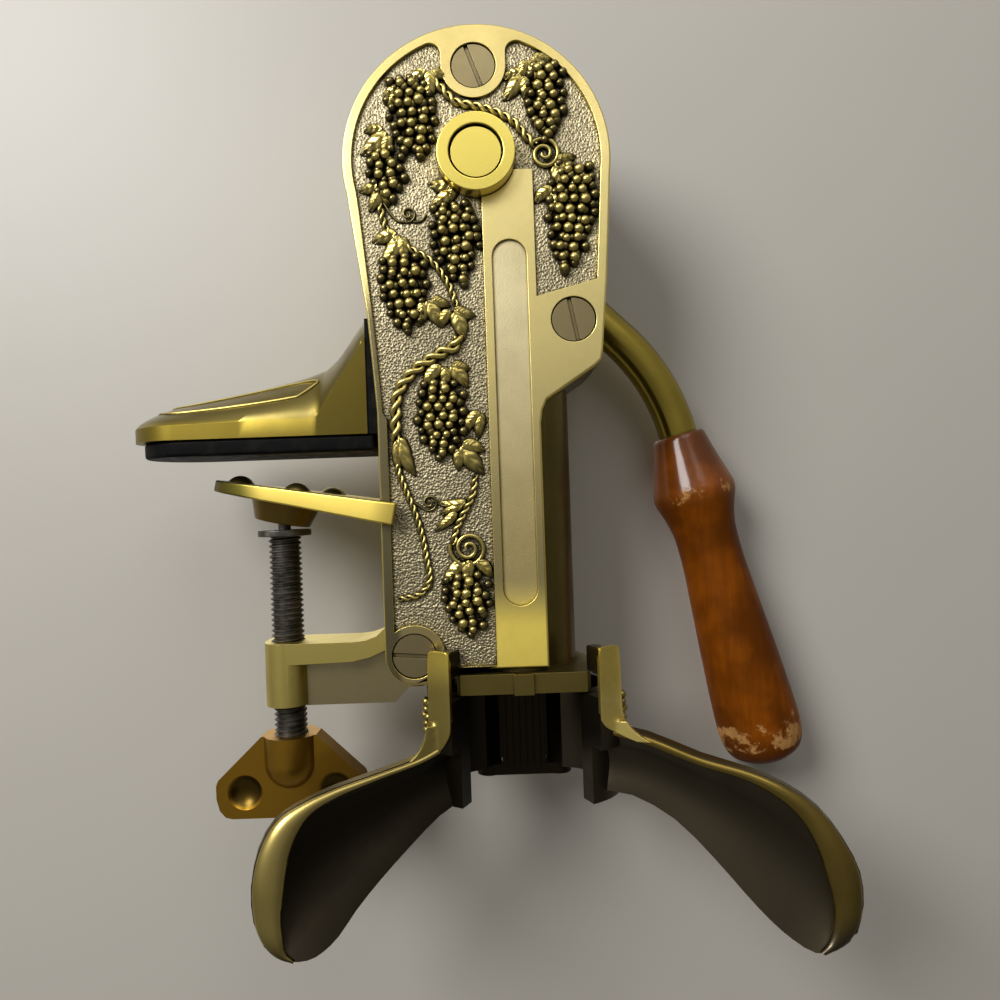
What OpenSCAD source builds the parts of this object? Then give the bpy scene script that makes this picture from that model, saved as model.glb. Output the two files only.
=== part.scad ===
// Countertop corkscrew with a table clamp, upright, relief face towards -Y.
// The origin is the centre of the clamp pad's lower face; sizes in mm.

/* [Body] */
// Radius of the round lobe at the top
lobe_r = 43.5; // [42:0.5:46]
// Height of the lever axle above the foot of the bar
axle_z = 165; // [163:0.5:168]
// Distance of the lever axle to the left of the worm axis
axle_left = 9.6; // [9:0.2:10.4]
// Distance of the column's left wall from the worm axis
column_left = 44.5; // [43:0.5:46]
// Half of the depth of the body
half_depth = 20; // [19:0.5:22]
// Wall thickness of the castings
wall = 4; // [3.5:0.25:4.5]
// Thickness of the cover's panel
panel_t = 2.8; // [2.6:0.2:3]
// Height of the rim and the bar above the panel
relief_h = 1.2; // [1:0.1:1.6]
// Width of the rim
rim_w = 3.2; // [2.4:0.2:4]
// Width of the long bar
bar_w = 16.8; // [15:0.4:18]
// Width of the round-ended recess in the bar
recess_w = 11.2; // [9:0.4:12.4]
// Depth of the recess in the bar
recess_d = 1; // [0.6:0.2:1.4]

/* [Tube and collar] */
// Outer radius of the tube
tube_r = 18.7; // [18:0.1:20]
// Radius of the tube's bore
bore_r = 14.6; // [14:0.1:15]
// Radius of the collar's flange
flange_r = 23.5; // [22.5:0.25:24]
// Height of the collar's flange
flange_h = 6.5; // [5:0.5:7]
// Radius of the bore for the bottle's lip
neck_r = 15.5; // [15:0.1:16]

/* [Screws] */
// Radius of the cover screws' heads
head_r = 7; // [6:0.25:7.5]
// Radius of the cover screws' shanks
shank_r = 3.2; // [2.5:0.1:3.6]

/* [Lever] */
// Radius of the axle
axle_r = 8; // [7.5:0.1:8.4]
// Radius of the ring on the cover
ring_r = 12.5; // [12:0.25:13.5]
// Height of the ring above the panel
ring_h = 6.7; // [6:0.1:8]
// Radius of the lever's rod
rod_r = 7.3; // [6.5:0.1:7.8]
// Radius of the lever's hub
hub_r = 16; // [14:0.5:18]
// Distance of the rod's centre line behind the body's middle
rod_y = 30; // [30:0.5:32]
// Slope of the rod's straight part
rod_slope = 44; // [43:0.5:46]
// Slope of the grip
grip_slope = 76.4; // [74:0.2:79]
// Radius of the rod's bend
bend_r = 78; // [72:1:84]
// Length of the rod's straight part, from the axle
straight_l = 72.3; // [68:0.5:76]
// Length of the grip
grip_l = 129; // [120:1:136]
// Radius of the grip at its shoulder and at its end
grip_r = 15.7; // [14:0.1:16.4]

/* [Drive] */
// Module of the gears and the rack
gear_m = 2; // [1.9:0.05:2.05]
// Width of each row of teeth
tooth_w = 8; // [6:0.5:9]
// Thinning of each tooth, for running clearance
tooth_play = 0.3; // [0.2:0.05:0.4]
// Length of the worm below its flange
worm_l = 70; // [66:0.5:70]
// Radius of the worm's helix to its outside
worm_r = 4.9; // [4.4:0.1:5]
// Radius of the worm's wire
wire_r = 1.5; // [1.3:0.1:1.8]

/* [Jaws] */
// Inner radius of the jaw sleeves
jaw_in = 16; // [15.6:0.1:16.6]
// Outer radius of the jaw sleeves
jaw_out = 22; // [21:0.25:23]
// Angle to which each jaw is open
jaw_open = 26; // [24:1:28]
// Radius of the hinge pins
pin_r = 2.5; // [2.2:0.1:3]
// Thickness of the jaws' handles
paddle_t = 3; // [2.4:0.2:4]
// Depth of the hollow in the jaws' handles
paddle_dish = 6; // [4:0.5:8]

/* [Clamp] */
// Half of the width of the foot
foot_half = 18; // [17:0.25:19]
// Thickness of the rubber pad
pad_t = 5.5; // [4:0.5:7]
// Height of the pad's lower face above the foot of the bar
pad_z = 72; // [70:0.5:74]
// Distance of the clamp screw from the worm axis
screw_left = 81; // [79:0.5:83]
// Outer radius of the clamp screw
screw_r = 5.55; // [5:0.05:6]
// Pitch of the clamp screw
screw_pitch = 1.814; // [1.5:0.01:2]
// Tilt of the pressure plate at rest
plate_tilt = 11.9; // [8:0.1:12.4]
// Half of the width of the pressure plate at its fork
fork_half = 25; // [24:0.25:27]

/* [Hidden] */
$fn = 72;
fit = 0.05;
gap = 0.3;
eps = 0.1;
axle_x = -axle_left;
front_y = -half_depth;
panel_y = front_y + relief_h;
seam_y = panel_y + panel_t;
inner_back = half_depth - wall - 0.4;
pad_end = -127;
pad_root = -46.2;
origin_x = (pad_end + pad_root) / 2;
foot_root = -48;
screw_tops = [[axle_x, axle_z + 30], [20.1, 112], [-column_left + 9.5, 4.9]];
corner_r = 9.5;
shoulder_z = 114;
waist_z = 84;
gasket_top = 115;
thin_rim = 1.8;
foot_rim = 1;
boss_r = 10.5;
boss_fillet = 3.5;
slot_turn = [70, 79, 5];
ear_x = 29.2;
ear_z = 101;
drive_n = 20;
idler_n = 14;
pinion_n = 12;
pressure = 25;
drive_pr = gear_m * drive_n / 2;
idler_pr = gear_m * idler_n / 2;
pinion_pr = gear_m * pinion_n / 2;
idler_z = axle_z - drive_pr - idler_pr;
rack_x = axle_x + pinion_pr;
lever_swing = 180;
stroke = lever_swing * PI / 180 * drive_pr / idler_pr * pinion_pr;
worm_turns = 6;
worm_pitch = stroke / worm_turns;
worm_slices = 140;
row_gap = 1;
front_row = [-tooth_w - row_gap - 0.5, -row_gap - 0.5];
rear_row = [row_gap, row_gap + tooth_w];
idler_shaft_r = 5;
nut_bot = 4.3;
nut_top = 18;
worm_flange_z = nut_top + 0.6 + stroke;
worm_flange_t = 3.2;
carriage_bot = worm_flange_z + worm_flange_t + gap;
carriage_top = carriage_bot + 28;
collar_pocket = carriage_bot + 20;
rack_back = 11;
rack_top = idler_z + stroke + 7.5;
cavity_bot = carriage_top + 2;
seat_z = -1;
ledge_r = 12.7;
flange_top = -1.5;
flange_bot = flange_top - flange_h;
hinge_x = 13;
hinge_y = 22;
barrel_r = 4.6;
jaw_top = flange_bot - 0.5;
jaw_bot = -43.5;
lug_t = 4;
collar_front = 21.6;
collar_half = 21.5;
post_r = 27.5;
post_w = 8;
post_bot = -25;
hook_top = 7;
hook_bot = -0.9;
tab_w = 6.4;
ball_r = 3.6;
ball_z = 52;
plate_bot = 4.1;
plate_t = 5;
plate_taper = 3;
rivet_h = 2.4;
rivet_ball = 5.2;
rivets = [[-16.5, 0], [5, -7], [14.5, 6]];
washer_bot = 44.5;
washer_t = 2.2;
cup_bot = -2.9;
arm_top = 8.3;
arm_bot = -13.2;
arm_half = 9.5;
arm_boss_r = 7.3;
arm_t = 7.2;
web_bot = -13.7;
web_half = 4;
knob_top = -24;
knob_bot = -52;
knob_half = 25.5;
knob_t = 4;
knob_hub_r = 9.4;
knob_round = -33.5;
rod_end = -39;
knob_pin_z = -31;
knob_pin_r = 1.5;
bolt_z = [90, 102];
bolt_r = 3;
bolt_head = 5;
column_in = -column_left + wall;
bore_wall = -bore_r - 4.4;
foot_z = pad_z + pad_t;
// Stations of the foot: distance from the worm axis, edge height, ridge height
foot_rows = [[48, 108.5, 119.5], [51, 104.5, 116], [54, 99.8, 112], [58, 94, 106.5], [62, 87.8, 102.8],
  [65, 83.5, 101], [72, 83.3, 98.6], [84, 83, 95.8], [96, 82.7, 93.4], [108, 82.4, 91.2],
  [114, 82.3, 90], [120, 82.2, 88.2], [125, 82.1, 86.2], [128, 82, 84.5], [129.7, 81.9, 82.8]];
foot_round = 112;
foot_cols = 12;
// Edges of the handles with the jaws open: upper edge and lower edge from root to tip
left_upper = [[-24.5, -23.5, -21.5], [-33.5, -27, -25.6], [-46, -31, -28.7], [-59, -34.5, -31.8],
  [-68.6, -37.5, -35], [-75.5, -40, -39], [-80.2, -42, -46.5], [-82.5, -43.5, -56.5], [-82, -44, -66.5],
  [-79, -44, -73.6]];
left_lower = [[-19.9, -19, -41.5], [-28.3, -23, -45.5], [-37.5, -27.5, -53], [-46.5, -31, -61.4],
  [-53.5, -34.5, -68.6], [-58.3, -38, -74.4], [-62.6, -41, -77.4], [-66.6, -43, -78.5], [-71.8, -44, -78.1],
  [-76.6, -44, -75.7]];
right_upper = [[24.5, -23.5, -19], [37.5, -27, -21.1], [52.9, -31, -26.9], [66.6, -35, -30.3],
  [76.9, -38, -34.4], [85.7, -40, -40.6], [92.2, -42, -49.4], [96.3, -43, -58.5], [97, -43, -68],
  [94.8, -43, -75.8]];
right_lower = [[22, -19, -40.5], [33.4, -22, -41.4], [46, -26, -48], [56.5, -31, -58.2],
  [64.5, -35, -67.3], [70.8, -38, -74], [76.6, -40, -78.9], [82.6, -42, -82], [88.2, -43, -81],
  [92.4, -43, -78.4]];
paddle_cols = 10;

brass = "#9a7b2e";
dark_brass = "#5a4a20";
steel = "#6a6860";
black = "#161616";
wood = "#8a4a1c";

module in_frame() {
  translate([-origin_x, 0, -pad_z]) children();
}

module slab_y(y0, y1) {
  translate([0, y1, 0]) rotate([90, 0, 0]) linear_extrude(height = y1 - y0) children();
}

module rod_along_y(x, z, r, y0, y1) {
  translate([x, y1, z]) rotate([90, 0, 0]) cylinder(r = r, h = y1 - y0);
}

module block(x0, x1, y0, y1, z0, z1) {
  translate([x0, y0, z0]) cube([x1 - x0, y1 - y0, z1 - z0]);
}

// Left side of the body from the lobe down to the corner, moved in by i
function left_side(i) = [[axle_x - lobe_r + i, axle_z], [axle_x - lobe_r + 1.9 + i, axle_z - 16],
  [-column_left - 2 + min(i, thin_rim), shoulder_z], [-column_left + min(i, thin_rim), waist_z],
  [-column_left + i, waist_z - 2.5], [-column_left + i, screw_tops[2][1]]];

// Right side of the body from the ear up to the lobe, moved in by i
function right_side(i) = [[bar_w / 2 - i, 79], [bar_w / 2 + 0.6 - i, 83 + i * 0.4],
  [bar_w / 2 + 2.2 - i, 86.5 + i * 0.6], [ear_x - 2.4 - i, ear_z - 4 + i * 0.5],
  [ear_x - 0.6 - i, ear_z - 2.2 + i * 0.5], [ear_x - i, ear_z + 0.6],
  [axle_x + lobe_r - 2.4 - i, axle_z - 38], [axle_x + lobe_r - i, axle_z]];

module cover_shape(i, y0, y1) {
  c = screw_tops[2];
  rod_along_y(axle_x, axle_z, lobe_r - i, y0, y1);
  rod_along_y(c[0], c[1], corner_r - i, y0, y1);
  slab_y(y0, y1) polygon(concat(left_side(i), [[c[0], c[1] - corner_r + i], [c[0] + 6, c[1] - corner_r + i],
    [c[0] + 11, min(i, foot_rim)], [bar_w / 2 - i, min(i, foot_rim)]], right_side(i)));
}

module round_slot(w, z0, z1, y0, y1) {
  rod_along_y(0, z0 + w / 2, w / 2, y0, y1);
  rod_along_y(0, z1 - w / 2, w / 2, y0, y1);
  block(-w / 2, w / 2, y0, y1, z0 + w / 2, z1 - w / 2);
}

module body_outside() {
  c = screw_tops[2];
  cover_shape(0, seam_y, half_depth);
  translate([0, 0, 0]) cylinder(r = tube_r, h = ear_z - 4);
  block(0, tube_r - 0.4, 0, half_depth, 0, ear_z - 4);
}

module arm_outside() {
  d = arm_half - arm_boss_r;
  for (y = [-d, d]) translate([-screw_left, y, arm_bot]) cylinder(r = arm_boss_r, h = arm_top - arm_bot);
  block(-screw_left - arm_boss_r, -screw_left + arm_boss_r, -d, d, arm_bot, arm_top);
  slab_y(-arm_half + 0.2, arm_half - 0.2) polygon([[-screw_left, arm_top - arm_t], [-screw_left, arm_top],
    [-column_left - 12.5, arm_top], [-column_left - 8.2, arm_top + 0.4], [-column_left - 4.4, arm_top + 1.7],
    [-column_left - 0.6, arm_top + 5.2], [-column_left + 2, arm_top + 5.2], [-column_left + 2, arm_top - 1.8],
    [-column_left - 2.7, arm_top - 3.6], [-column_left - 6.7, arm_top - 5.3], [-column_left - 12.8, arm_top - arm_t + 0.6]]);
  slab_y(-web_half, web_half) polygon([[-screw_left, web_bot], [-column_left + 0.5, web_bot],
    [-column_left + 5.7, jaw_top], [-column_left + 10.5, jaw_top], [-column_left + 10.5, 6], [-column_left - 2.7, arm_top - 4.5],
    [-screw_left, arm_top - arm_t + 1]]);
}

module body_cavity() {
  rod_along_y(axle_x, axle_z, lobe_r - wall, seam_y - 2, inner_back);
  slab_y(seam_y - 2, inner_back) polygon([[axle_x - lobe_r + wall, axle_z],
    [axle_x - lobe_r + 1.9 + wall, axle_z - 16], [-column_left - 2 + wall, shoulder_z],
    [-column_left - 1.4 + wall, cavity_bot], [ear_x - wall - 1, cavity_bot],
    [axle_x + lobe_r - 2.6 - wall, axle_z - 38], [axle_x + lobe_r - wall, axle_z]]);
  block(column_in, bore_wall, seam_y - 2, inner_back, screw_tops[2][1] + 13, cavity_bot + 1);
  translate([0, 0, -1]) cylinder(r = bore_r, h = cavity_bot + 2);
}

module screw_posts() {
  intersection() {
    union() {
      rod_along_y(screw_tops[0][0], screw_tops[0][1], shank_r + 2.6, seam_y, half_depth - 1);
      block(screw_tops[0][0] - shank_r - 2.6, screw_tops[0][0] + shank_r + 2.6, seam_y, half_depth - 1,
        screw_tops[0][1], axle_z + lobe_r - 1);
      rod_along_y(screw_tops[1][0], screw_tops[1][1], shank_r + 2.6, seam_y, half_depth - 1);
      block(screw_tops[1][0], axle_x + lobe_r - 2.6, seam_y, half_depth - 1,
        screw_tops[1][1] - shank_r - 2.6, screw_tops[1][1] + shank_r + 2.6);
    }
    cover_shape(0.5, seam_y, half_depth - 1);
  }
}

module rear_housing() {
  color(dark_brass) in_frame() difference() {
    union() {
      difference() {
        union() {
          body_outside();
          arm_outside();
        }
        body_cavity();
      }
      screw_posts();
    }
    difference() {
      cover_shape(-eps, front_y - 1, seam_y);
      block(-column_left - 12, axle_x + lobe_r + 12, front_y - 2, seam_y + 1, -30, -8);
    }
    for (s = screw_tops) rod_along_y(s[0], s[1], shank_r + fit, seam_y - 1, seam_y + 16);
    rod_along_y(axle_x, axle_z, axle_r + 3 + fit, inner_back - 1, half_depth + 1);
    rod_along_y(axle_x, idler_z, idler_shaft_r + fit, inner_back - 1, inner_back + 2.6);
    translate([-screw_left, 0, arm_bot - 1]) cylinder(r = screw_r + fit, h = arm_top - arm_bot + 9);
    for (z = bolt_z) translate([-column_left - 6, 0, z]) rotate([0, 90, 0])
      cylinder(r = bolt_r + fit, h = 12);
  }
}

// Rounded inner corners where the upper screw's boss meets the rim
module boss_fillets() {
  q = lobe_r - rim_w;
  x = boss_r + boss_fillet;
  z = sqrt(pow(q - boss_fillet, 2) - x * x);
  m = (q + 0.5) / (q - boss_fillet);
  for (s = [-1, 1]) difference() {
    translate([axle_x, 0, axle_z]) slab_y(front_y, panel_y + eps) polygon([[s * (boss_r - 0.3), z], [s * x, z],
      [s * x * m, z * m], [s * (boss_r - 0.3), sqrt(pow(q + 0.5, 2) - boss_r * boss_r)]]);
    rod_along_y(axle_x + s * x, axle_z + z, boss_fillet, front_y - 1, panel_y + 1);
  }
}

module front_cover() {
  color(brass) in_frame() difference() {
    union() {
      cover_shape(0, panel_y, seam_y);
      difference() {
        cover_shape(0, front_y, panel_y + eps);
        cover_shape(rim_w, front_y - 1, panel_y + 1);
      }
      block(-bar_w / 2, bar_w / 2, front_y, panel_y + eps, 0, axle_z - 4);
      intersection() {
        cover_shape(0.2, front_y, panel_y + eps);
        union() {
          rod_along_y(screw_tops[0][0], screw_tops[0][1], boss_r, front_y, panel_y + eps);
          block(screw_tops[0][0] - boss_r, screw_tops[0][0] + boss_r, front_y, panel_y + eps,
            screw_tops[0][1], axle_z + lobe_r);
          boss_fillets();
          rod_along_y(screw_tops[2][0], screw_tops[2][1], head_r + 3, front_y, panel_y + eps);
          slab_y(front_y, panel_y + eps) polygon([[bar_w / 2 - 1, 119.6], [ear_x + 2, 125.6],
            [ear_x + 2, 80], [bar_w / 2 - 1, 80]]);
        }
      }
    }
    round_slot(recess_w, 20, 138.5, front_y - 1, front_y + recess_d);
    for (s = screw_tops) {
      rod_along_y(s[0], s[1], head_r + 0.35, front_y - 1, seam_y - 2);
      rod_along_y(s[0], s[1], shank_r + fit, front_y - 1, seam_y + 1);
    }
    rod_along_y(axle_x, axle_z, ring_r + fit, front_y - 1, panel_y);
    rod_along_y(axle_x, axle_z, axle_r + 2.5 + fit, front_y - 1, seam_y + 1);
    rod_along_y(axle_x, idler_z, idler_shaft_r + fit, seam_y - 1.8, seam_y + 1);
  }
}

module cover_screws() {
  color(steel) in_frame() for (i = [0:2]) let (s = screw_tops[i]) difference() {
    union() {
      rod_along_y(s[0], s[1], head_r, front_y + 0.5, seam_y - 2);
      rod_along_y(s[0], s[1], shank_r, front_y + 1, seam_y + 14);
    }
    translate([s[0], front_y, s[1]]) rotate([0, slot_turn[i], 0]) cube([head_r * 2 + 2, 2.6, 1.4], center = true);
  }
}

module axle_ring() {
  color(brass) in_frame() difference() {
    union() {
      rod_along_y(axle_x, axle_z, ring_r, panel_y - ring_h, panel_y);
      rod_along_y(axle_x, axle_z, axle_r + 2.5, panel_y - 1, seam_y);
    }
    rod_along_y(axle_x, axle_z, axle_r + fit, panel_y - ring_h - 1, seam_y + 1);
    rod_along_y(axle_x, axle_z, axle_r + 0.7, panel_y - ring_h - 1, panel_y - ring_h + 3);
  }
}

module rear_bush() {
  color(steel) in_frame() difference() {
    union() {
      rod_along_y(axle_x, axle_z, axle_r + 3, inner_back, half_depth + 1);
      rod_along_y(axle_x, axle_z, axle_r + 5.5, half_depth, half_depth + 1.6);
    }
    rod_along_y(axle_x, axle_z, axle_r + fit, inner_back - 1, half_depth + 3);
  }
}

module idler_shaft() {
  color(steel) in_frame() rod_along_y(axle_x, idler_z, idler_shaft_r, seam_y - 1.7, inner_back + 2.5);
}

module neck_collar() {
  color(brass) in_frame() difference() {
    union() {
      intersection() {
        translate([0, 0, flange_bot]) cylinder(r = flange_r, h = flange_h);
        block(-flange_r - 1, flange_r + 1, -collar_front, flange_r + 1, flange_bot - 1, flange_top + 1);
      }
      translate([0, 0, flange_bot]) linear_extrude(height = flange_h) polygon([[-collar_half, 0],
        [-collar_half, 1 - collar_front], [1 - collar_half, -collar_front], [collar_half - 1, -collar_front],
        [collar_half, 1 - collar_front], [collar_half, 0]]);
      translate([0, 0, flange_top - eps]) cylinder(r = tube_r - 0.2, h = -flange_top + eps);
      translate([0, 0, -eps]) cylinder(r = bore_r - fit, h = nut_bot - 0.3 + eps);
      block(-tab_w / 2, tab_w / 2, -collar_front - 1.4, -collar_front + 2, flange_bot - 0.2, flange_top);
      block(-hinge_x, hinge_x, neck_r - 1, hinge_y + barrel_r, flange_bot, flange_top);
      block(-hinge_x, hinge_x, hinge_y - barrel_r + 0.6, hinge_y + barrel_r, jaw_bot - gap - lug_t, jaw_bot - gap);
      for (s = [-1, 1]) {
        translate([s * hinge_x, hinge_y, flange_bot]) cylinder(r = barrel_r, h = flange_h);
        translate([s * hinge_x, hinge_y, jaw_bot - gap - lug_t]) cylinder(r = barrel_r, h = lug_t);
      }
      block(-hinge_x + barrel_r + 0.5, hinge_x - barrel_r - 0.5, hinge_y - barrel_r + 0.6,
        hinge_y + barrel_r, jaw_bot - gap - 1, flange_bot + 1);
      for (s = [-1, 0, 1]) block(s * 5 - 1.1, s * 5 + 1.1, hinge_y - barrel_r - 0.6, hinge_y,
        jaw_bot - gap - 1, flange_bot + 1);
    }
    translate([0, 0, flange_bot - 1]) cylinder(r = neck_r, h = seat_z - flange_bot + 1);
    translate([0, 0, seat_z - 1]) cylinder(r = ledge_r, h = 8);
    for (s = [-1, 1]) translate([s * hinge_x, hinge_y, jaw_bot - 12])
      cylinder(r = pin_r + fit, h = 60);
  }
}

module jaw_pins() {
  color(steel) in_frame() for (s = [-1, 1]) translate([s * hinge_x, hinge_y, jaw_bot - gap - lug_t])
    cylinder(r = pin_r, h = flange_top - jaw_bot + gap + lug_t);
}

// Half width of the foot at a distance d from the worm axis
function foot_w(d) = d <= foot_round ? foot_half : sqrt(max(foot_half * foot_half - pow(d - foot_round, 2), 1));

// One section of the foot, from the lower front corner over the crown to the lower back corner
function foot_section(row) = concat([[-row[0], -foot_w(row[0]), foot_z]],
  [for (k = [0:foot_cols]) let (v = 2 * k / foot_cols - 1)
    [-row[0], v * foot_w(row[0]), row[1] + (row[2] - row[1]) * pow(1 - v * v, 0.8)]],
  [[-row[0], foot_w(row[0]), foot_z]]);

// Triangles that join two neighbouring sections of n points each, starting at a and at b
function strip_faces(a, b, n) = [for (k = [0:n - 2]) each [[a + k, b + k, a + k + 1], [a + k + 1, b + k, b + k + 1]]];

module clamp_foot() {
  n = foot_cols + 3;
  rows = len(foot_rows);
  points = [for (r = foot_rows) each foot_section(r)];
  sides = [for (i = [0:rows - 2]) each strip_faces(i * n, (i + 1) * n, n)];
  under = [for (i = [0:rows - 2]) each [[i * n, i * n + n - 1, (i + 1) * n], [i * n + n - 1, (i + 1) * n + n - 1,
    (i + 1) * n]]];
  ends = [for (k = [1:n - 2]) each [[0, k, k + 1], [(rows - 1) * n, (rows - 1) * n + k + 1, (rows - 1) * n + k]]];
  color(brass) in_frame() difference() {
    polyhedron(points = points, faces = concat(sides, under, ends), convexity = 4);
    for (z = bolt_z) translate([foot_root - 12, 0, z]) rotate([0, 90, 0]) cylinder(r = bolt_r + fit, h = 14);
  }
}

module foot_gasket() {
  color(black) in_frame() difference() {
    slab_y(-foot_half + 0.5, foot_half - 0.5) polygon([[foot_root, foot_z], [foot_root, gasket_top],
      [-column_left - 2.2, gasket_top], [-column_left - 2, shoulder_z], [-column_left, waist_z], [-column_left, foot_z]]);
    for (z = bolt_z) translate([foot_root - 1, 0, z]) rotate([0, 90, 0]) cylinder(r = bolt_r + fit, h = 8);
  }
}

module foot_bolts() {
  color(steel) in_frame() for (z = bolt_z) {
    translate([foot_root - 11.5, 0, z]) rotate([0, 90, 0]) cylinder(r = bolt_r, h = column_in - foot_root + 12);
    translate([column_in, 0, z]) rotate([0, 90, 0]) cylinder(r = bolt_head, h = 4);
  }
}

module clamp_pad() {
  r = foot_half - 0.8;
  color(black) in_frame() {
    translate([pad_end + r, 0, pad_z]) cylinder(r = r, h = pad_t);
    block(pad_end + r, pad_root, -r, r, pad_z, pad_z + pad_t);
  }
}

module lever_axle() {
  color(steel) in_frame() difference() {
    union() {
      rod_along_y(axle_x, axle_z, axle_r, panel_y - ring_h + 1, half_depth + 2);
      translate([axle_x, half_depth + 8, axle_z]) cube([10, 14, 10], center = true);
      rod_along_y(axle_x, axle_z, 4, half_depth + 8, rod_y + rod_r + 6);
    }
    block(axle_x - 2.5 - fit, axle_x + 2.5 + fit, rear_row[0] + 1, rear_row[1] - 1, axle_z + axle_r - 2, axle_z + 12);
  }
}

module gear_key() {
  color(steel) in_frame() block(axle_x - 2.5, axle_x + 2.5, rear_row[0] + 1 + fit, rear_row[1] - 1 - fit,
    axle_z + axle_r - 2 + fit, axle_z + axle_r + 2);
}

// Involute of the pressure angle a in degrees
function inv(a) = tan(a) * 180 / PI - a;

// Half of the angle that a tooth takes at radius q
function half_angle(n, q) = let (p = gear_m * n / 2, b = p * cos(pressure))
  90 / n - tooth_play / 2 / p * 90 / PI + inv(pressure) - inv(acos(min(1, b / max(q, b))));

// Outline of a gear with n teeth, one tooth centred on the angle t0
function gear_points(n, t0) = let (p = gear_m * n / 2, top = p + gear_m * 0.92, b = p * cos(pressure),
  foot = p - gear_m * 1.2, low = max(foot + 0.2, b)) [for (k = [0:n - 1]) let (t = t0 + k * 360 / n) each concat(
  [[foot, t - half_angle(n, low) - 0.4]], [for (j = [0:4]) let (q = low + (top - low) * j / 4) [q, t - half_angle(n, q)]],
  [for (j = [4:-1:0]) let (q = low + (top - low) * j / 4) [q, t + half_angle(n, q)]],
  [[foot, t + half_angle(n, low) + 0.4]])];

module gear_row(n, t0, row) {
  slab_y(row[0], row[1]) polygon([for (g = gear_points(n, t0)) [g[0] * cos(g[1]), g[0] * sin(g[1])]]);
}

module drive_gear() {
  color(steel) in_frame() difference() {
    union() {
      translate([axle_x, 0, axle_z]) gear_row(drive_n, -90, rear_row);
      rod_along_y(axle_x, axle_z, axle_r + 4.5, rear_row[0], inner_back - gap);
    }
    rod_along_y(axle_x, axle_z, axle_r + fit, -20, half_depth);
    block(axle_x - 2.5 - fit, axle_x + 2.5 + fit, rear_row[0] + 1, rear_row[1] - 1, axle_z, axle_z + axle_r + 2 + fit);
  }
}

module lever_arm() {
  turn = grip_slope - rod_slope;
  end_x = axle_x + straight_l * cos(rod_slope) + bend_r * (sin(grip_slope) - sin(rod_slope));
  end_z = axle_z - straight_l * sin(rod_slope) - bend_r * (cos(rod_slope) - cos(grip_slope));
  color(brass) in_frame() difference() {
    union() {
      rod_along_y(axle_x, axle_z, hub_r, half_depth + 2, rod_y + rod_r);
      translate([axle_x, rod_y, axle_z]) rotate([0, 90 + rod_slope, 0])
        cylinder(r = rod_r - fit, h = straight_l + 1);
      translate([axle_x + straight_l * cos(rod_slope) - bend_r * sin(rod_slope), rod_y,
        axle_z - straight_l * sin(rod_slope) - bend_r * cos(rod_slope)]) rotate([90, 0, 0])
        rotate([0, 0, 90 - grip_slope]) rotate_extrude(angle = turn) translate([bend_r, 0]) circle(r = rod_r);
      translate([end_x, rod_y, end_z]) rotate([0, 90 + grip_slope, 0]) cylinder(r = 5, h = 70);
    }
    translate([axle_x, half_depth + 8, axle_z]) cube([10 + 2 * fit, 40, 10 + 2 * fit], center = true);
  }
}

module hub_nut() {
  color(steel) in_frame() difference() {
    rod_along_y(axle_x, axle_z, 8.5, rod_y + rod_r, rod_y + rod_r + 6.5);
    rod_along_y(axle_x, axle_z, 4 + fit, rod_y, rod_y + rod_r + 6.1);
  }
}

module lever_grip() {
  end_x = axle_x + straight_l * cos(rod_slope) + bend_r * (sin(grip_slope) - sin(rod_slope));
  end_z = axle_z - straight_l * sin(rod_slope) - bend_r * (cos(rod_slope) - cos(grip_slope));
  g = grip_r;
  l = grip_l;
  color(wood) in_frame() translate([end_x, rod_y, end_z]) rotate([0, 90 + grip_slope, 0]) difference() {
    rotate_extrude() polygon([[0, 0], [9.2, 0], [9.8, 0.6], [g - 0.5, l * 0.155], [g, l * 0.17], [g - 0.5, l * 0.187],
      [g - 3, l * 0.235], [g - 4.1, l * 0.28], [g - 4, l * 0.39], [g - 3, l * 0.51], [g - 1.5, l * 0.66],
      [g - 0.5, l * 0.775], [g - 0.1, l * 0.85], [g - 0.5, l * 0.915], [g - 2.6, l * 0.96], [g - 6.8, l * 0.99],
      [0, l]]);
    translate([0, 0, -1]) cylinder(r = 5 + fit, h = 72);
  }
}

module idler_gear() {
  color(steel) in_frame() difference() {
    union() {
      translate([axle_x, 0, idler_z]) gear_row(idler_n, 90 + 180 / idler_n, rear_row);
      translate([axle_x, 0, idler_z]) gear_row(pinion_n, 0, front_row);
      rod_along_y(axle_x, idler_z, idler_shaft_r + 2.5, seam_y + gap, inner_back - gap);
    }
    rod_along_y(axle_x, idler_z, idler_shaft_r + fit, -half_depth, half_depth);
  }
}

module rack_bar() {
  p = PI * gear_m;
  h = p / 4 - tooth_play / 2;
  a = gear_m * 0.92;
  d = gear_m * 1.2;
  s = tan(pressure);
  count = floor((rack_top - idler_z) / p);
  teeth = [for (k = [-2:count - 1]) let (z = idler_z + p / 2 + k * p) each [[rack_x + d, z - h - d * s],
    [rack_x - a, z - h + a * s], [rack_x - a, z + h - a * s], [rack_x + d, z + h + d * s]]];
  color(steel) in_frame() difference() {
    union() {
      slab_y(front_row[0] + 0.3, front_row[1] - 0.3) polygon(concat([[rack_x + d, carriage_top + gap]], teeth,
        [[rack_x + d, rack_top], [rack_back, rack_top], [rack_back, carriage_top + gap]]));
      block(7, rack_back, -8, -1.2 - gap, carriage_top - 15, carriage_top + 1);
    }
    rod_along_y(9, carriage_top - 8, 1.5 + fit, -half_depth, half_depth);
  }
}

module rack_pin() {
  color(steel) in_frame() rod_along_y(9, carriage_top - 8, 1.5, -9.8, 4);
}

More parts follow.
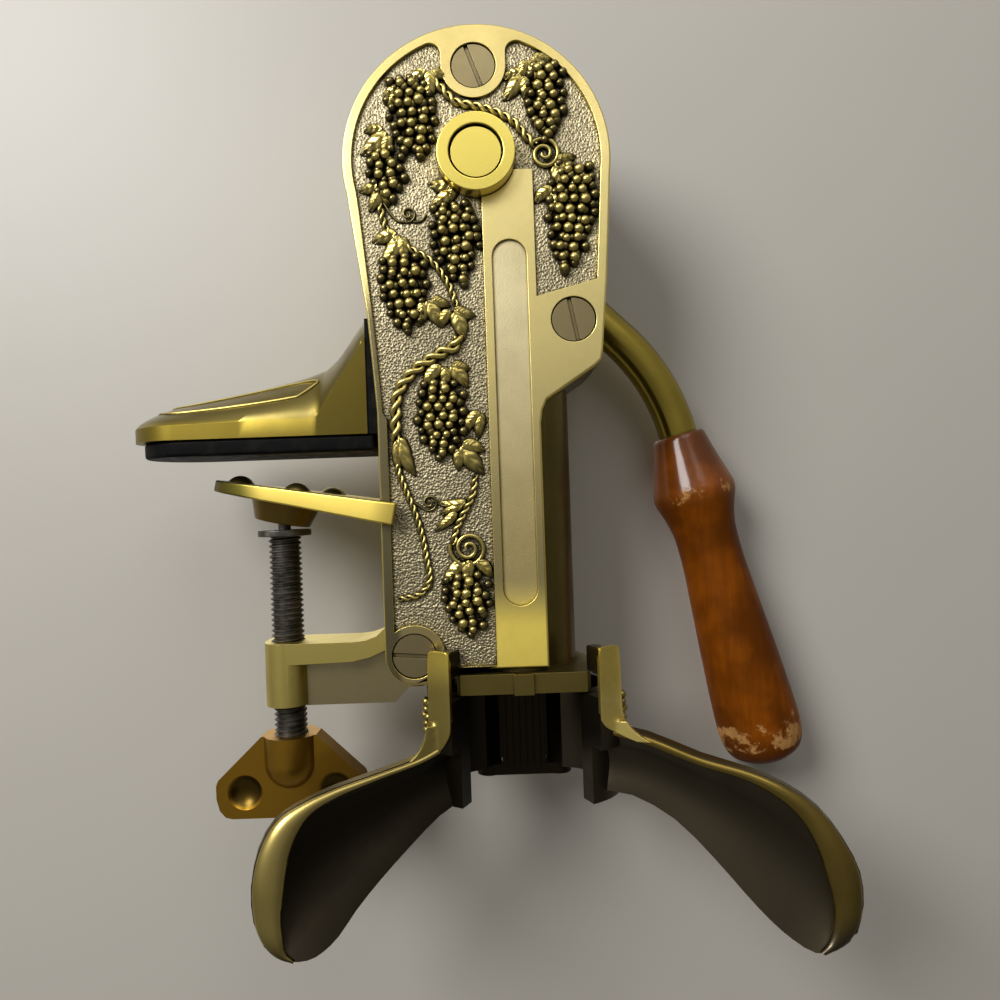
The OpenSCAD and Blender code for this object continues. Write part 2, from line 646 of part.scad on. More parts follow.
module carriage() {
  color(brass) in_frame() difference() {
    translate([0, 0, carriage_bot]) cylinder(r = bore_r - fit, h = carriage_top - carriage_bot);
    translate([0, 0, carriage_bot - 1]) cylinder(r = 4 + fit, h = 40);
    translate([0, 0, collar_pocket]) cylinder(r = 6, h = 20);
    block(7 - fit, rack_back + fit, -8 - fit, -1.2 - gap + fit, carriage_top - 15 - fit, carriage_top + 1);
    rod_along_y(9, carriage_top - 8, 1.5 + fit, -half_depth, 4);
  }
}

module worm() {
  body = worm_l - 4;
  tip_turn = 90 + atan2(worm_pitch, 2 * PI * (worm_r - wire_r));
  color(steel) in_frame() {
    translate([0, 0, worm_flange_z]) cylinder(r = 8, h = worm_flange_t);
    translate([0, 0, worm_flange_z + worm_flange_t - eps]) cylinder(r = 4, h = collar_pocket - worm_flange_z + 2.5);
    translate([0, 0, worm_flange_z - body]) linear_extrude(height = body + 0.5, slices = worm_slices,
      twist = -360 * (body + 0.5) / worm_pitch, $fn = 10) translate([worm_r - wire_r, 0]) circle(r = wire_r);
    translate([worm_r - wire_r, 0, worm_flange_z - body]) rotate([tip_turn, 0, 0]) {
      sphere(r = wire_r, $fn = 24);
      cylinder(r1 = wire_r, r2 = 0.3, h = 3, $fn = 24);
    }
  }
}

module worm_collar() {
  color(steel) in_frame() translate([0, 0, collar_pocket + gap]) difference() {
    cylinder(r = 5.7, h = 4.5);
    translate([0, 0, -1]) cylinder(r = 4 + fit, h = 12);
  }
}

module guide_nut() {
  color(brass) in_frame() difference() {
    translate([0, 0, nut_bot]) cylinder(r = bore_r - fit, h = nut_top - nut_bot);
    translate([0, 0, nut_bot - 1]) cylinder(r = worm_r + 0.4, h = nut_top);
  }
}

// A right-hand jaw in its closed place, without its handle
module jaw_closed() {
  difference() {
    union() {
      translate([0, 0, jaw_bot]) cylinder(r = jaw_out, h = jaw_top - jaw_bot);
      translate([hinge_x, hinge_y, jaw_bot - eps]) cylinder(r = barrel_r, h = jaw_top - jaw_bot + 2 * eps);
      rotate([0, 0, atan2(hinge_y, hinge_x)])
        block(jaw_in + 1, norm([hinge_x, hinge_y]), -3, 3, jaw_bot + 0.5, jaw_top - 0.5);
      intersection() {
        translate([0, 0, post_bot]) cylinder(r = post_r, h = hook_top - post_bot);
        slab_y(-post_r, -jaw_in - 0.5) polygon([[0, post_bot], [0, hook_top - 0.8], [0.8, hook_top],
          [post_w - 4, hook_top], [post_w - 1.4, hook_top - 1.4], [post_w, hook_top - 4.5], [post_w, post_bot]]);
      }
    }
    translate([0, 0, jaw_bot - 1]) cylinder(r = jaw_in, h = jaw_top - jaw_bot + 1.5);
    translate([0, 0, jaw_top]) cylinder(r = flange_r + 0.5, h = hook_bot - jaw_top);
    block(-1, post_w + 1, front_y - 0.6, 0, hook_bot - eps, hook_top + 1);
    block(-60, gap, -60, 60, jaw_bot - 1, hook_top + 1);
    block(-1, hinge_x - barrel_r + 1, hinge_y - 12, hinge_y + 9, jaw_bot - 1, jaw_top + 1);
    block(-1, tab_w / 2 + 0.5, -post_r - 1, -jaw_in - 3, jaw_top - eps, hook_bot - 0.3);
    translate([hinge_x, hinge_y, jaw_bot - 1]) cylinder(r = pin_r + fit, h = 60);
  }
}

module jaw_opened() {
  translate([hinge_x, hinge_y, 0]) rotate([0, 0, jaw_open]) translate([-hinge_x, -hinge_y, 0]) jaw_closed();
}

function mix(a, b, t) = a * (1 - t) + b * t;
function unit(v) = v / norm(v);

// Smooth row through the stations p, with one more station between each two
function spline(p) = let (n = len(p) - 1) [for (i = [0:2 * n]) let (k = floor(i / 2)) i % 2 == 0 ? p[k]
  : (9 * (p[k] + p[k + 1]) - p[max(k - 1, 0)] - p[min(k + 2, n)]) / 16];

// Depth of the handle's face behind its edges, at v across it
function paddle_drop(v) = v < 0.16 ? 1.6 * pow(1 - v / 0.16, 2) : paddle_dish * pow(sin(180 * pow((v - 0.16) / 0.84, 0.8)), 1.2);

// One section of a handle: the inner face from the upper to the lower edge, then the outer face back
function paddle_section(u, l, n) = concat(
  [for (k = [0:paddle_cols]) mix(u, l, k / paddle_cols) - n * paddle_drop(k / paddle_cols) * norm(u - l) / 40],
  [for (k = [paddle_cols:-1:0]) mix(u, l, k / paddle_cols)
    - n * (paddle_drop(k / paddle_cols) * norm(u - l) / 40 + paddle_t + (k == 0 ? 0 : 0.6))]);

module paddle(upper, lower) {
  m = 2 * paddle_cols + 2;
  rows = len(upper);
  normals = [for (i = [0:rows - 1]) let (a = max(i - 1, 0), b = min(i + 1, rows - 1),
    c = cross(mix(upper[b], lower[b], 0.5) - mix(upper[a], lower[a], 0.5), lower[i] - upper[i]))
    unit(c[1] > 0 ? -c : c)];
  points = [for (i = [0:rows - 1]) each paddle_section(upper[i], lower[i], normals[i])];
  sides = [for (i = [0:rows - 2]) each [for (k = [0:m - 1]) let (j = (k + 1) % m) each
    [[i * m + k, i * m + j, (i + 1) * m + k], [i * m + j, (i + 1) * m + j, (i + 1) * m + k]]]];
  ends = [for (k = [0:paddle_cols - 1]) each [[k, m - 2 - k, k + 1], [k, m - 1 - k, m - 2 - k]]];
  last = (rows - 1) * m;
  tips = [for (k = [0:paddle_cols - 1]) each [[last + k, last + k + 1, last + m - 2 - k],
    [last + k, last + m - 2 - k, last + m - 1 - k]]];
  faces = concat(sides, ends, tips);
  flip = upper[1][0] > 0;
  polyhedron(points = points, faces = flip ? [for (f = faces) [f[0], f[2], f[1]]] : faces, convexity = 6);
}

module left_jaw() {
  color(brass) in_frame() difference() {
    union() {
      mirror([1, 0, 0]) jaw_opened();
      paddle(spline(left_upper), spline(left_lower));
    }
    block(-60, -18, front_y - 0.4, 30, screw_tops[2][1] - corner_r - 0.6, hook_top + 1);
  }
}

module right_jaw() {
  color(brass) in_frame() union() {
    jaw_opened();
    paddle(spline(right_upper), spline(right_lower));
  }
}

module thrust_washer() {
  color(black) in_frame() translate([-screw_left, 0, washer_bot]) difference() {
    cylinder(r = 9, h = washer_t);
    translate([0, 0, -1]) cylinder(r = screw_r - 2 + fit, h = washer_t + 2);
  }
}

module clamp_screw() {
  color(steel) in_frame() translate([-screw_left, 0, 0]) {
    translate([0, 0, rod_end]) cylinder(r = screw_r, h = washer_bot - rod_end - fit);
    translate([0, 0, washer_bot - 1]) cylinder(r = screw_r - 2, h = washer_t + 1 + fit);
    translate([0, 0, washer_bot - 1]) cylinder(r = 2.2, h = ball_z - washer_bot);
    translate([0, 0, ball_z]) sphere(r = ball_r);
  }
}

module wing_knob() {
  h = knob_half;
  color(brass) in_frame() translate([-screw_left, 0, 0]) difference() {
    union() {
      slab_y(-knob_t, knob_t) polygon([[-knob_hub_r, knob_top], [-h + 0.8, -38.6], [-h, -40.5], [-h, -45], [-h + 1, -49],
        [-h + 3, -51.4], [-h + 5.5, knob_bot], [h - 5.5, knob_bot], [h - 3, -51.4], [h - 1, -49], [h, -45], [h, -40.5],
        [h - 0.8, -38.6], [knob_hub_r, knob_top]]);
      translate([0, 0, knob_round]) cylinder(r = knob_hub_r, h = knob_top - knob_round);
      translate([0, 0, knob_round]) sphere(r = knob_hub_r);
    }
    translate([0, 0, rod_end - fit]) cylinder(r = screw_r + fit, h = 60);
    for (s = [-1, 1]) for (y = [-1, 1]) translate([s * 15.6, y * (knob_t + 5.6), -43]) sphere(r = 8.2);
    rod_along_y(0, knob_pin_z, knob_pin_r + fit, 0, knob_hub_r + 1);
  }
}

module knob_pin() {
  color(steel) in_frame() rod_along_y(-screw_left, knob_pin_z, knob_pin_r, screw_r + 0.2, knob_hub_r - 0.4);
}

module on_ball() {
  translate([-screw_left, 0, ball_z]) rotate([0, plate_tilt, 0]) children();
}

module swivel_cup() {
  color(brass) in_frame() on_ball() difference() {
    union() {
      translate([0, 0, cup_bot]) cylinder(r1 = 9.4, r2 = 11.6, h = plate_bot - cup_bot);
    }
    sphere(r = ball_r + fit);
    translate([0, 0, cup_bot - 1]) cylinder(r1 = 4.6, r2 = 2.6, h = 1 - cup_bot - 1);
    translate([0, 0, 0]) cylinder(r = 2.6, h = 1);
  }
}

module pressure_plate() {
  reach = screw_left - 40;
  color(brass) in_frame() on_ball() difference() {
    translate([0, 0, plate_bot]) linear_extrude(height = 10) polygon([[reach, -fork_half], [reach, fork_half],
      [reach - 8, fork_half], [6, 17.5], [-10, 15.5], [-18, 12.5], [-22.6, 8], [-24.4, 3], [-24.4, -3], [-22.6, -8],
      [-18, -12.5], [-10, -15.5], [6, -17.5], [reach - 8, -fork_half]]);
    translate([0, 0, plate_bot + plate_t]) rotate([0, -plate_taper, 0]) translate([-60, -60, 0]) cube([140, 120, 30]);
    block(screw_left - column_left - 2.4, reach + 2, -half_depth - 0.7, half_depth + 0.7, 0, 20);
  }
}

module plate_rivets() {
  color(brass) in_frame() on_ball() for (p = rivets)
    translate([0, 0, plate_bot + plate_t]) rotate([0, -plate_taper, 0]) translate([p[0], p[1], fit]) difference() {
      translate([0, 0, rivet_h - rivet_ball]) sphere(r = rivet_ball);
      translate([-10, -10, -20]) cube([20, 20, 20]);
    }
}

rear_housing();
front_cover();
cover_screws();
axle_ring();
rear_bush();
idler_shaft();
neck_collar();
jaw_pins();
clamp_foot();
foot_gasket();
foot_bolts();
clamp_pad();
lever_axle();
drive_gear();
gear_key();
lever_arm();
hub_nut();
lever_grip();
idler_gear();
rack_bar();
rack_pin();
carriage();
worm();
worm_collar();
guide_nut();
left_jaw();
right_jaw();
thrust_washer();
clamp_screw();
wing_knob();
knob_pin();
swivel_cup();
pressure_plate();
plate_rivets();
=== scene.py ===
"""Looks of the countertop corkscrew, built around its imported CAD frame.

Shapes are placed in the bench frame of the CAD source, in millimetres: X and Y from
the worm's axis, Z from the foot of the bar, relief face towards -Y. The masks of the
finishes are given in the part's own frame, in millimetres too.
"""

import math
import random

import bmesh
import bpy
from bpy.props import FloatProperty, FloatVectorProperty, IntProperty, PointerProperty
from mathutils import Matrix, Vector


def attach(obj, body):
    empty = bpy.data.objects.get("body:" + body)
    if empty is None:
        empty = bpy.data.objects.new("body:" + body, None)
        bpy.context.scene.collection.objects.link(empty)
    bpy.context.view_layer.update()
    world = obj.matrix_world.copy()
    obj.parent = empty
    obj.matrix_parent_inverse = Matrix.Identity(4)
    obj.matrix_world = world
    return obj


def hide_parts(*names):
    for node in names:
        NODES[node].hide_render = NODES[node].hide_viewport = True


bl_info = {
    "name": "Countertop Corkscrew Looks",
    "version": (1, 0, 0),
    "blender": (4, 5, 0),
    "location": "View3D > Sidebar > Corkscrew",
    "description": "Dresses the packed countertop corkscrew with finishes and relief",
    "category": "Object",
}

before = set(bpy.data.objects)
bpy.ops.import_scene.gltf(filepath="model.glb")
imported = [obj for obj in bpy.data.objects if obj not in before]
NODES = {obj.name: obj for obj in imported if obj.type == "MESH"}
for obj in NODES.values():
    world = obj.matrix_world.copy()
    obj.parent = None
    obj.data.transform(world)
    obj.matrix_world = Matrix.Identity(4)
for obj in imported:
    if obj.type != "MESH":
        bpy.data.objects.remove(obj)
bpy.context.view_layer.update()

MM = 0.001
PAD_CENTRE = Vector((86.6, 0.0, -72.0))  # from the bench frame to the part's frame
PANEL_Y = -18.8  # ground of the cover's panel
FRONT_Y = -20.0  # face of the cover's rim
ROD_X = -81.0  # axis of the clamp screw
GRIP_START = Vector((64.04, 30.0, 77.0))  # end of the brass rod in the grip
GRIP_SLOPE = math.radians(76.4)
GRIP_AXIS = Vector((math.cos(GRIP_SLOPE), 0.0, -math.sin(GRIP_SLOPE)))
JAW_CENTRE = Vector((10.96, -3.47))  # middle of a jaw's sleeve: distance from the worm's axis, y
TABLE_Y = 46.2  # the table that the corkscrew lies on


def at(x, y, z):
    """A bench point in millimetres as a point of the part's frame in metres."""
    return (Vector((x, y, z)) + PAD_CENTRE) * MM


def colour_property(name, description, default):
    return FloatVectorProperty(
        name=name, description=description, subtype="COLOR", size=3, default=default)


def length_property(name, description, default):
    return FloatProperty(
        name=name, description=description, subtype="DISTANCE", unit="LENGTH", default=default * MM)


class FinishColours(bpy.types.PropertyGroup):
    """Colours of the finishes"""

    polished: colour_property("Polished brass", "Rubbed brass of the rim and the bar", (0.88, 0.73, 0.30))
    bright: colour_property("Bright brass", "Turned brass of the axle's ring", (0.92, 0.75, 0.17))
    antique: colour_property("Antique brass", "Darkened brass of the castings", (0.13, 0.098, 0.026))
    ground: colour_property("Panel ground", "Grey brass of the pebbled panel", (0.35, 0.30, 0.185))
    hollow: colour_property("Hollows", "Dark patina that stays in the hollows", (0.022, 0.017, 0.007))
    steel: colour_property("Dark steel", "Oiled steel of the screw and the works", (0.085, 0.078, 0.066))
    wood: colour_property("Varnished wood", "Orange-brown varnish of the grip", (0.15, 0.037, 0.001))
    bare_wood: colour_property("Bare wood", "Pale wood where the varnish has worn off", (0.44, 0.22, 0.07))
    table: colour_property("Table", "Pale table that the corkscrew lies on", (0.405, 0.38, 0.335))


class ReliefSizes(bpy.types.PropertyGroup):
    """Sizes of the relief and the small forms"""

    grape: length_property("Grape", "Radius of a grape", 1.66)
    edge: length_property("Edge", "Rounding of the castings' edges", 0.45)
    thread_pitch: length_property("Thread pitch", "Pitch of the clamp screw", 1.814)
    seed: IntProperty(name="Seed", description="Seed of the grapes' small differences", default=7)


def colours():
    return bpy.context.scene.corkscrew_colours


def sizes():
    return bpy.context.scene.corkscrew_sizes


# Node groups and materials


def node_group(name, inputs, outputs):
    """A new shader group with float, colour or vector sockets."""
    group = bpy.data.node_groups.new(name, "ShaderNodeTree")
    kinds = {"f": "NodeSocketFloat", "c": "NodeSocketColor", "v": "NodeSocketVector"}
    for label, kind, default in inputs:
        socket = group.interface.new_socket(label, in_out="INPUT", socket_type=kinds[kind])
        if default is not None:
            socket.default_value = default
    for label, kind in outputs:
        group.interface.new_socket(label, in_out="OUTPUT", socket_type=kinds[kind])
    return group, group.nodes.new("NodeGroupInput"), group.nodes.new("NodeGroupOutput")


def feed(tree, socket, value):
    """Gives a socket a number, a colour or a vector, or links it to another node's socket."""
    if isinstance(value, bpy.types.NodeSocket):
        tree.links.new(value, socket)
    elif isinstance(value, (int, float)):
        socket.default_value = value
    else:
        socket.default_value = (*value, 1.0)[:len(socket.default_value)]


def shader_node(tree, kind, inputs=None, **settings):
    """A new node with its settings, and with a value or a link for each of the inputs."""
    node = tree.nodes.new("ShaderNode" + kind)
    for name, value in settings.items():
        setattr(node, name, value)
    for label, value in (inputs or {}).items():
        feed(tree, node.inputs[label], value)
    return node


def math_node(tree, operation, *values, clamp=False):
    return shader_node(tree, "Math", dict(enumerate(values)), operation=operation, use_clamp=clamp).outputs[0]


def product(tree, value, *factors):
    for factor in factors:
        value = math_node(tree, "MULTIPLY", value, factor)
    return value


def without(tree, mask):
    """The opposite of a mask from 0 to 1."""
    return math_node(tree, "SUBTRACT", 1.0, mask)


def tinted(colour, share):
    return [c * share for c in colour]


def ramp_value(tree, value, low, high, out_low=0.0, out_high=1.0):
    """value mapped from low..high to out_low..out_high, smoothly and clamped."""
    span = {"Value": value, "From Min": low, "From Max": high, "To Min": out_low, "To Max": out_high}
    return shader_node(tree, "MapRange", span, interpolation_type="SMOOTHSTEP").outputs["Result"]


def mix_colour(tree, factor, a, b):
    sockets = {0: factor, 6: a, 7: b}  # those that a colour mix has
    return shader_node(tree, "Mix", sockets, data_type="RGBA").outputs[2]


def noise(tree, vector, scale, detail=3.0, roughness=0.55):
    inputs = {"Vector": vector, "Scale": scale, "Detail": detail, "Roughness": roughness}
    return shader_node(tree, "TexNoise", inputs).outputs["Fac"]


def cells(tree, vector, scale, smoothness=0.6):
    inputs = {"Vector": vector, "Scale": scale, "Smoothness": smoothness}
    return shader_node(tree, "TexVoronoi", inputs, feature="SMOOTH_F1").outputs["Distance"]


PEBBLES = 1400.0  # pebbles to a metre of the panel


def make_cast_grain():
    """Group: the skin of a casting, as a height and as a tone from 0 to 1."""
    group, start, end = node_group(
        "cast_grain", [("Vector", "v", None), ("Pebble", "f", 0.0)], [("Height", "f"), ("Tone", "f")])
    vector = start.outputs["Vector"]
    fine = product(group, noise(group, vector, 2600.0, 2.0), 0.12)
    pebble = product(group, cells(group, vector, PEBBLES), start.outputs["Pebble"])
    group.links.new(math_node(group, "ADD", fine, pebble), end.inputs["Height"])
    broad = noise(group, vector, 55.0, 4.0)
    group.links.new(ramp_value(group, broad, 0.3, 0.7), end.inputs["Tone"])
    return group


def make_patina():
    """Group: high colour rubbed bright, hollow colour left dark, with a little mottling."""
    group, start, end = node_group(
        "patina",
        [("High", "c", (0.6, 0.5, 0.2, 1)), ("Hollow", "c", (0.02, 0.02, 0.01, 1)), ("Open", "f", 1.0),
         ("Tone", "f", 0.5), ("Mottle", "f", 0.25), ("Polish", "f", 0.28)],
        [("Color", "c"), ("Roughness", "f")])
    sockets = start.outputs
    stain = product(group, sockets["Tone"], sockets["Mottle"])
    clear = math_node(group, "SUBTRACT", sockets["Open"], stain, clamp=True)
    group.links.new(mix_colour(group, clear, sockets["Hollow"], sockets["High"]), end.inputs["Color"])
    dull = product(group, without(group, clear), 0.35)
    rough = math_node(group, "ADD", dull, sockets["Polish"], clamp=True)
    group.links.new(rough, end.inputs["Roughness"])
    return group


GROUPS = {}


class Finish:
    """A new material with its Principled shader, object coordinates and a bump."""

    def __init__(self, name, metallic=1.0):
        self.material = bpy.data.materials.new(name)
        self.material.use_nodes = True
        self.tree = self.material.node_tree
        self.shader = self.tree.nodes["Principled BSDF"]
        self.place = shader_node(self.tree, "TexCoord").outputs["Object"]
        self.give({"Metallic": metallic})

    def give(self, inputs):
        """Gives inputs of the shader their values or links."""
        for label, value in inputs.items():
            feed(self.tree, self.shader.inputs[label], value)

    def bump(self, height, distance, strength=1.0):
        """Bumps the surface by height, at most distance millimetres."""
        inputs = {"Height": height, "Distance": distance * MM, "Strength": strength}
        self.give({"Normal": shader_node(self.tree, "Bump", inputs).outputs["Normal"]})

    def parts(self, vector):
        return shader_node(self.tree, "SeparateXYZ", {0: vector}).outputs

    def axis(self, name):
        return self.parts(self.place)[name]

    def facing(self):
        """The Y share of the surface's own direction: -1 towards the front, 1 towards the back."""
        return self.parts(shader_node(self.tree, "TexCoord").outputs["Normal"])["Y"]

    def facing_between(self, low, high):
        """0 to 1 as the surface turns from a share low to a share high of front or back."""
        return ramp_value(self.tree, math_node(self.tree, "ABSOLUTE", self.facing()), low, high)

    def depth_between(self, low, high):
        """0 to 1 as the distance from the middle of the body goes from low to high millimetres."""
        return ramp_value(self.tree, math_node(self.tree, "ABSOLUTE", self.axis("Y")), low * MM, high * MM)

    def beyond(self, axis, start, end):
        """0 before start and 1 past end, both in millimetres of the part's frame along axis."""
        return ramp_value(self.tree, self.axis(axis), start * MM, end * MM)

    def openness(self, reach, low=0.25, high=0.85):
        """1 on open faces, 0 deep in hollows narrower than reach millimetres."""
        node = shader_node(self.tree, "AmbientOcclusion", {"Distance": reach * MM}, samples=8)
        return ramp_value(self.tree, node.outputs["AO"], low, high)

    def patina(self, high, polish, openness, mottle, grain, pebble=0.0):
        """Wires the skin of a casting; grain is the height of its bumps in millimetres."""
        skin = shader_node(self.tree, "Group", {"Vector": self.place, "Pebble": pebble},
                           node_tree=GROUPS["cast_grain"]).outputs
        inputs = {"High": high, "Hollow": colours().hollow, "Open": openness, "Tone": skin["Tone"],
                  "Mottle": mottle, "Polish": polish}
        coat = shader_node(self.tree, "Group", inputs, node_tree=GROUPS["patina"]).outputs
        self.give({"Base Color": coat["Color"], "Roughness": coat["Roughness"]})
        self.bump(skin["Height"], grain)
        return self.material


def layered(finish, base, layers):
    """The base colour under layers of (colour, where); where makes a layer's mask for the finish."""
    for colour, where in layers:
        base = mix_colour(finish.tree, where(finish), base, colour)
    return base


def along(axis, start, end):
    """A mask for a layer: 0 before start and 1 past end, in millimetres of the part's frame."""
    return lambda finish: finish.beyond(axis, start, end)


def brass(name, high, polish, reach, mottle, grain, layers=(), dark=0.25, light=0.85):
    """Antique brass: high colour on open faces, dark patina in hollows, and layers of other tones."""
    finish = Finish(name)
    openness = finish.openness(reach, dark, light)
    return finish.patina(layered(finish, high, layers), polish, openness, mottle, grain)


# Painted shade: the darker colour of the lower rim and bar.
LOWER_SHADE = (0.47, 0.38, 0.17)
# Painted highlight: the bright colour of the bar's foot.
BAR_GLEAM = (1.0, 0.80, 0.17)
DULL_EDGE = (0.19, 0.16, 0.085)
RECESS = (0.64, 0.55, 0.32)
# Painted shade: the darker colour of the rim's top.
TOP_RIM = (0.66, 0.53, 0.20)
RELIEF_LOW = (0.10, 0.082, 0.038)
RELIEF_HIGH = (0.60, 0.485, 0.15)


def bar_foot_gleam(finish):
    """1 on the foot of the bar, where a painted highlight brightens it."""
    return product(finish.tree, finish.beyond("X", 77, 79), finish.beyond("X", 98, 96),
                   finish.beyond("Z", -42, -60))


def dull_edge(finish):
    """1 on the rim's straight part beside the clamp, which is coloured duller."""
    return product(finish.tree, finish.beyond("X", 48.5, 46.0), finish.beyond("Z", 58, 40))


def cover_brass():
    """The cover: polished on the rim and the bar, pebbled grey on the panel, smooth grey in the recess."""
    finish = Finish("cover_brass")
    tree = finish.tree
    raised = finish.beyond("Y", -19.2, -19.6)
    panel = finish.beyond("Y", -18.93, -18.86)
    foot_gleam = bar_foot_gleam(finish)
    # The raised parts' colour: polished brass with the recess's own grey, painted shade on the rim's top and
    # on the lower rim and bar, a painted highlight on the bar's foot, and the duller straight rim beside the
    # clamp.
    rubbed = layered(finish, colours().polished, (
        (RECESS, lambda f: without(tree, raised)), (TOP_RIM, along("Z", 95, 125)),
        (LOWER_SHADE, along("Z", 45, -40)), (BAR_GLEAM, lambda f: foot_gleam), (DULL_EDGE, dull_edge)))
    pebbles = ramp_value(tree, cells(tree, finish.place, PEBBLES), 0.12, 0.5)
    base = colours().ground
    upper = mix_colour(tree, pebbles, tinted(base, 0.4), tinted(base, 1.4))
    lower = mix_colour(tree, pebbles, tinted(base, 0.24), tinted(base, 0.95))
    # Painted shade: the panel's ground is darker towards the bottom.
    ground = mix_colour(tree, finish.beyond("Z", 75, 35), upper, lower)
    top = mix_colour(tree, panel, rubbed, ground)
    # Faces turned away from the front take bright brass: partly rubbed edges, partly painted highlight.
    high = mix_colour(tree, finish.facing_between(0.97, 0.75), top, colours().bright)
    polish = math_node(tree, "SUBTRACT", 0.46, product(tree, raised, 0.17))
    polish = math_node(tree, "ADD", polish, product(tree, foot_gleam, 0.2))
    return finish.patina(high, polish, finish.openness(2.4, 0.3, 0.8), 0.22, 0.42, panel)


def relief_brass(name, low, high):
    """The relief: dark olive at depth low, rubbed yellow at depth high, both in millimetres."""
    finish = Finish(name)
    colour = mix_colour(finish.tree, finish.beyond("Y", low, high), RELIEF_LOW, RELIEF_HIGH)
    return finish.patina(colour, 0.27, finish.openness(2.0), 0.2, 0.05)


def dark_steel(name, colour, polish):
    finish = Finish(name)
    tree = finish.tree
    stain = noise(tree, finish.place, 260.0, 4.0)
    spots = ramp_value(tree, stain, 0.35, 0.7)
    finish.give({"Base Color": mix_colour(tree, spots, colour, tinted(colour, 1.7)),
                 "Roughness": ramp_value(tree, stain, 0.2, 0.8, polish, polish + 0.2)})
    finish.bump(noise(tree, finish.place, 2400.0, 2.0), 0.02)
    return finish.material


def black_rubber():
    finish = Finish("black_rubber", metallic=0.0)
    tree = finish.tree
    dust = noise(tree, finish.place, 180.0, 4.0)
    dusty = ramp_value(tree, dust, 0.45, 0.8)
    finish.give({"Base Color": mix_colour(tree, dusty, (0.004, 0.004, 0.004), (0.012, 0.0115, 0.010)),
                 "Roughness": ramp_value(tree, dust, 0.3, 0.7, 0.42, 0.62), "Specular IOR Level": 0.04})
    finish.bump(noise(tree, finish.place, 3000.0, 2.0), 0.03)
    return finish.material


def worn_wood():
    """Varnished wood with grain along the grip, worn pale round its shoulder and its end."""
    finish = Finish("worn_wood", metallic=0.0)
    tree = finish.tree
    turned = shader_node(tree, "Mapping", {
        "Vector": finish.place, "Rotation": (0, math.pi / 2 - GRIP_SLOPE, 0), "Scale": (420, 420, 22)})
    grain = noise(tree, turned.outputs["Vector"], 1.0, 5.0, 0.6)
    dot = shader_node(tree, "VectorMath", {0: finish.place, 1: GRIP_AXIS}, operation="DOT_PRODUCT")
    reach = math_node(tree, "SUBTRACT", dot.outputs["Value"], at(*GRIP_START).dot(GRIP_AXIS))

    def reached(start, end, *span):
        """A ramp along the grip, in millimetres from where the wood starts."""
        return ramp_value(tree, reach, start * MM, end * MM, *span)

    patchy = noise(tree, finish.place, 150.0, 6.0, 0.72)
    shoulder = product(tree, reached(12, 20), reached(30, 24), 0.8)
    worn = math_node(tree, "MAXIMUM", shoulder, product(tree, reached(104, 114), reached(126, 120)))
    spots = ramp_value(tree, math_node(tree, "ADD", product(tree, worn, 0.38), patchy), 0.84, 0.95)
    streaks = ramp_value(tree, grain, 0.3, 0.75)
    cloud = ramp_value(tree, noise(tree, finish.place, 48.0, 3.0), 0.35, 0.65)
    wood, bare_wood = colours().wood, colours().bare_wood
    red = mix_colour(tree, cloud, tinted(wood, 0.62), tinted(wood, 1.3))
    varnish = mix_colour(tree, product(tree, streaks, 0.45), red, tinted(wood, 0.45))
    bare = mix_colour(tree, streaks, bare_wood, tinted(bare_wood, 0.72))
    finish.give({
        "Base Color": mix_colour(tree, spots, varnish, bare), "Specular IOR Level": 0.06,
        "Roughness": ramp_value(tree, spots, 0.0, 1.0, 0.42, 0.75), "Coat Roughness": 0.14,
        "Coat Weight": product(tree, reached(30, 18, 0.02, 0.6), without(tree, spots))})
    finish.bump(math_node(tree, "SUBTRACT", product(tree, grain, 0.5), spots), 0.12, 0.6)
    return finish.material


MATERIALS = {}
# Colours that only one or two finishes use
SHADED = (0.020, 0.016, 0.011)
# Painted shade, lighter than SHADED: the inside and rim tips of the right jaw.
SOFT_SHADE = (0.070, 0.058, 0.038)
ARM_BRASS = (0.62, 0.50, 0.145)
WEB_BRASS = (0.36, 0.30, 0.16)


def shaded_bracket(finish):
    """1 on the front of the bracket that hangs below the collar."""
    front = ramp_value(finish.tree, finish.facing(), 0.4, 0.2)
    return product(finish.tree, finish.beyond("Z", -80.4, -81.2), front)


def arm_web(finish):
    """1 on the rough flat faces of the clamp arm's web."""
    return product(finish.tree, finish.facing_between(0.7, 0.9), finish.depth_between(6, 5),
                   finish.beyond("X", 49.5, 46.5))


def dimple(finish):
    """1 in the finger dimples of the knob, which its finish darkens as painted shade."""
    return product(finish.tree, finish.depth_between(3.9, 2.9), finish.facing_between(0.3, 0.45))


def foot_side(finish):
    """1 on the flat sides of the foot next to the body."""
    return product(finish.tree, finish.facing_between(0.55, 0.8), finish.beyond("X", 20.0, 22.5))


def outside(side):
    """A mask for a layer: 1 on the outside of a jaw, the back of its handle and the outside of its sleeve."""
    def where(finish):
        tree = finish.tree
        flat = shader_node(tree, "CombineXYZ", {axis: finish.axis(axis) for axis in "XY"})
        centre = (*at(side * JAW_CENTRE.x, JAW_CENTRE.y, 0).xy, 0.0)
        away = shader_node(tree, "VectorMath", {0: flat.outputs[0], 1: centre}, operation="DISTANCE")
        far = ramp_value(tree, away.outputs["Value"], 20.6 * MM, 21.4 * MM)
        return product(tree, far, ramp_value(tree, finish.facing(), -0.45, -0.2))
    return where


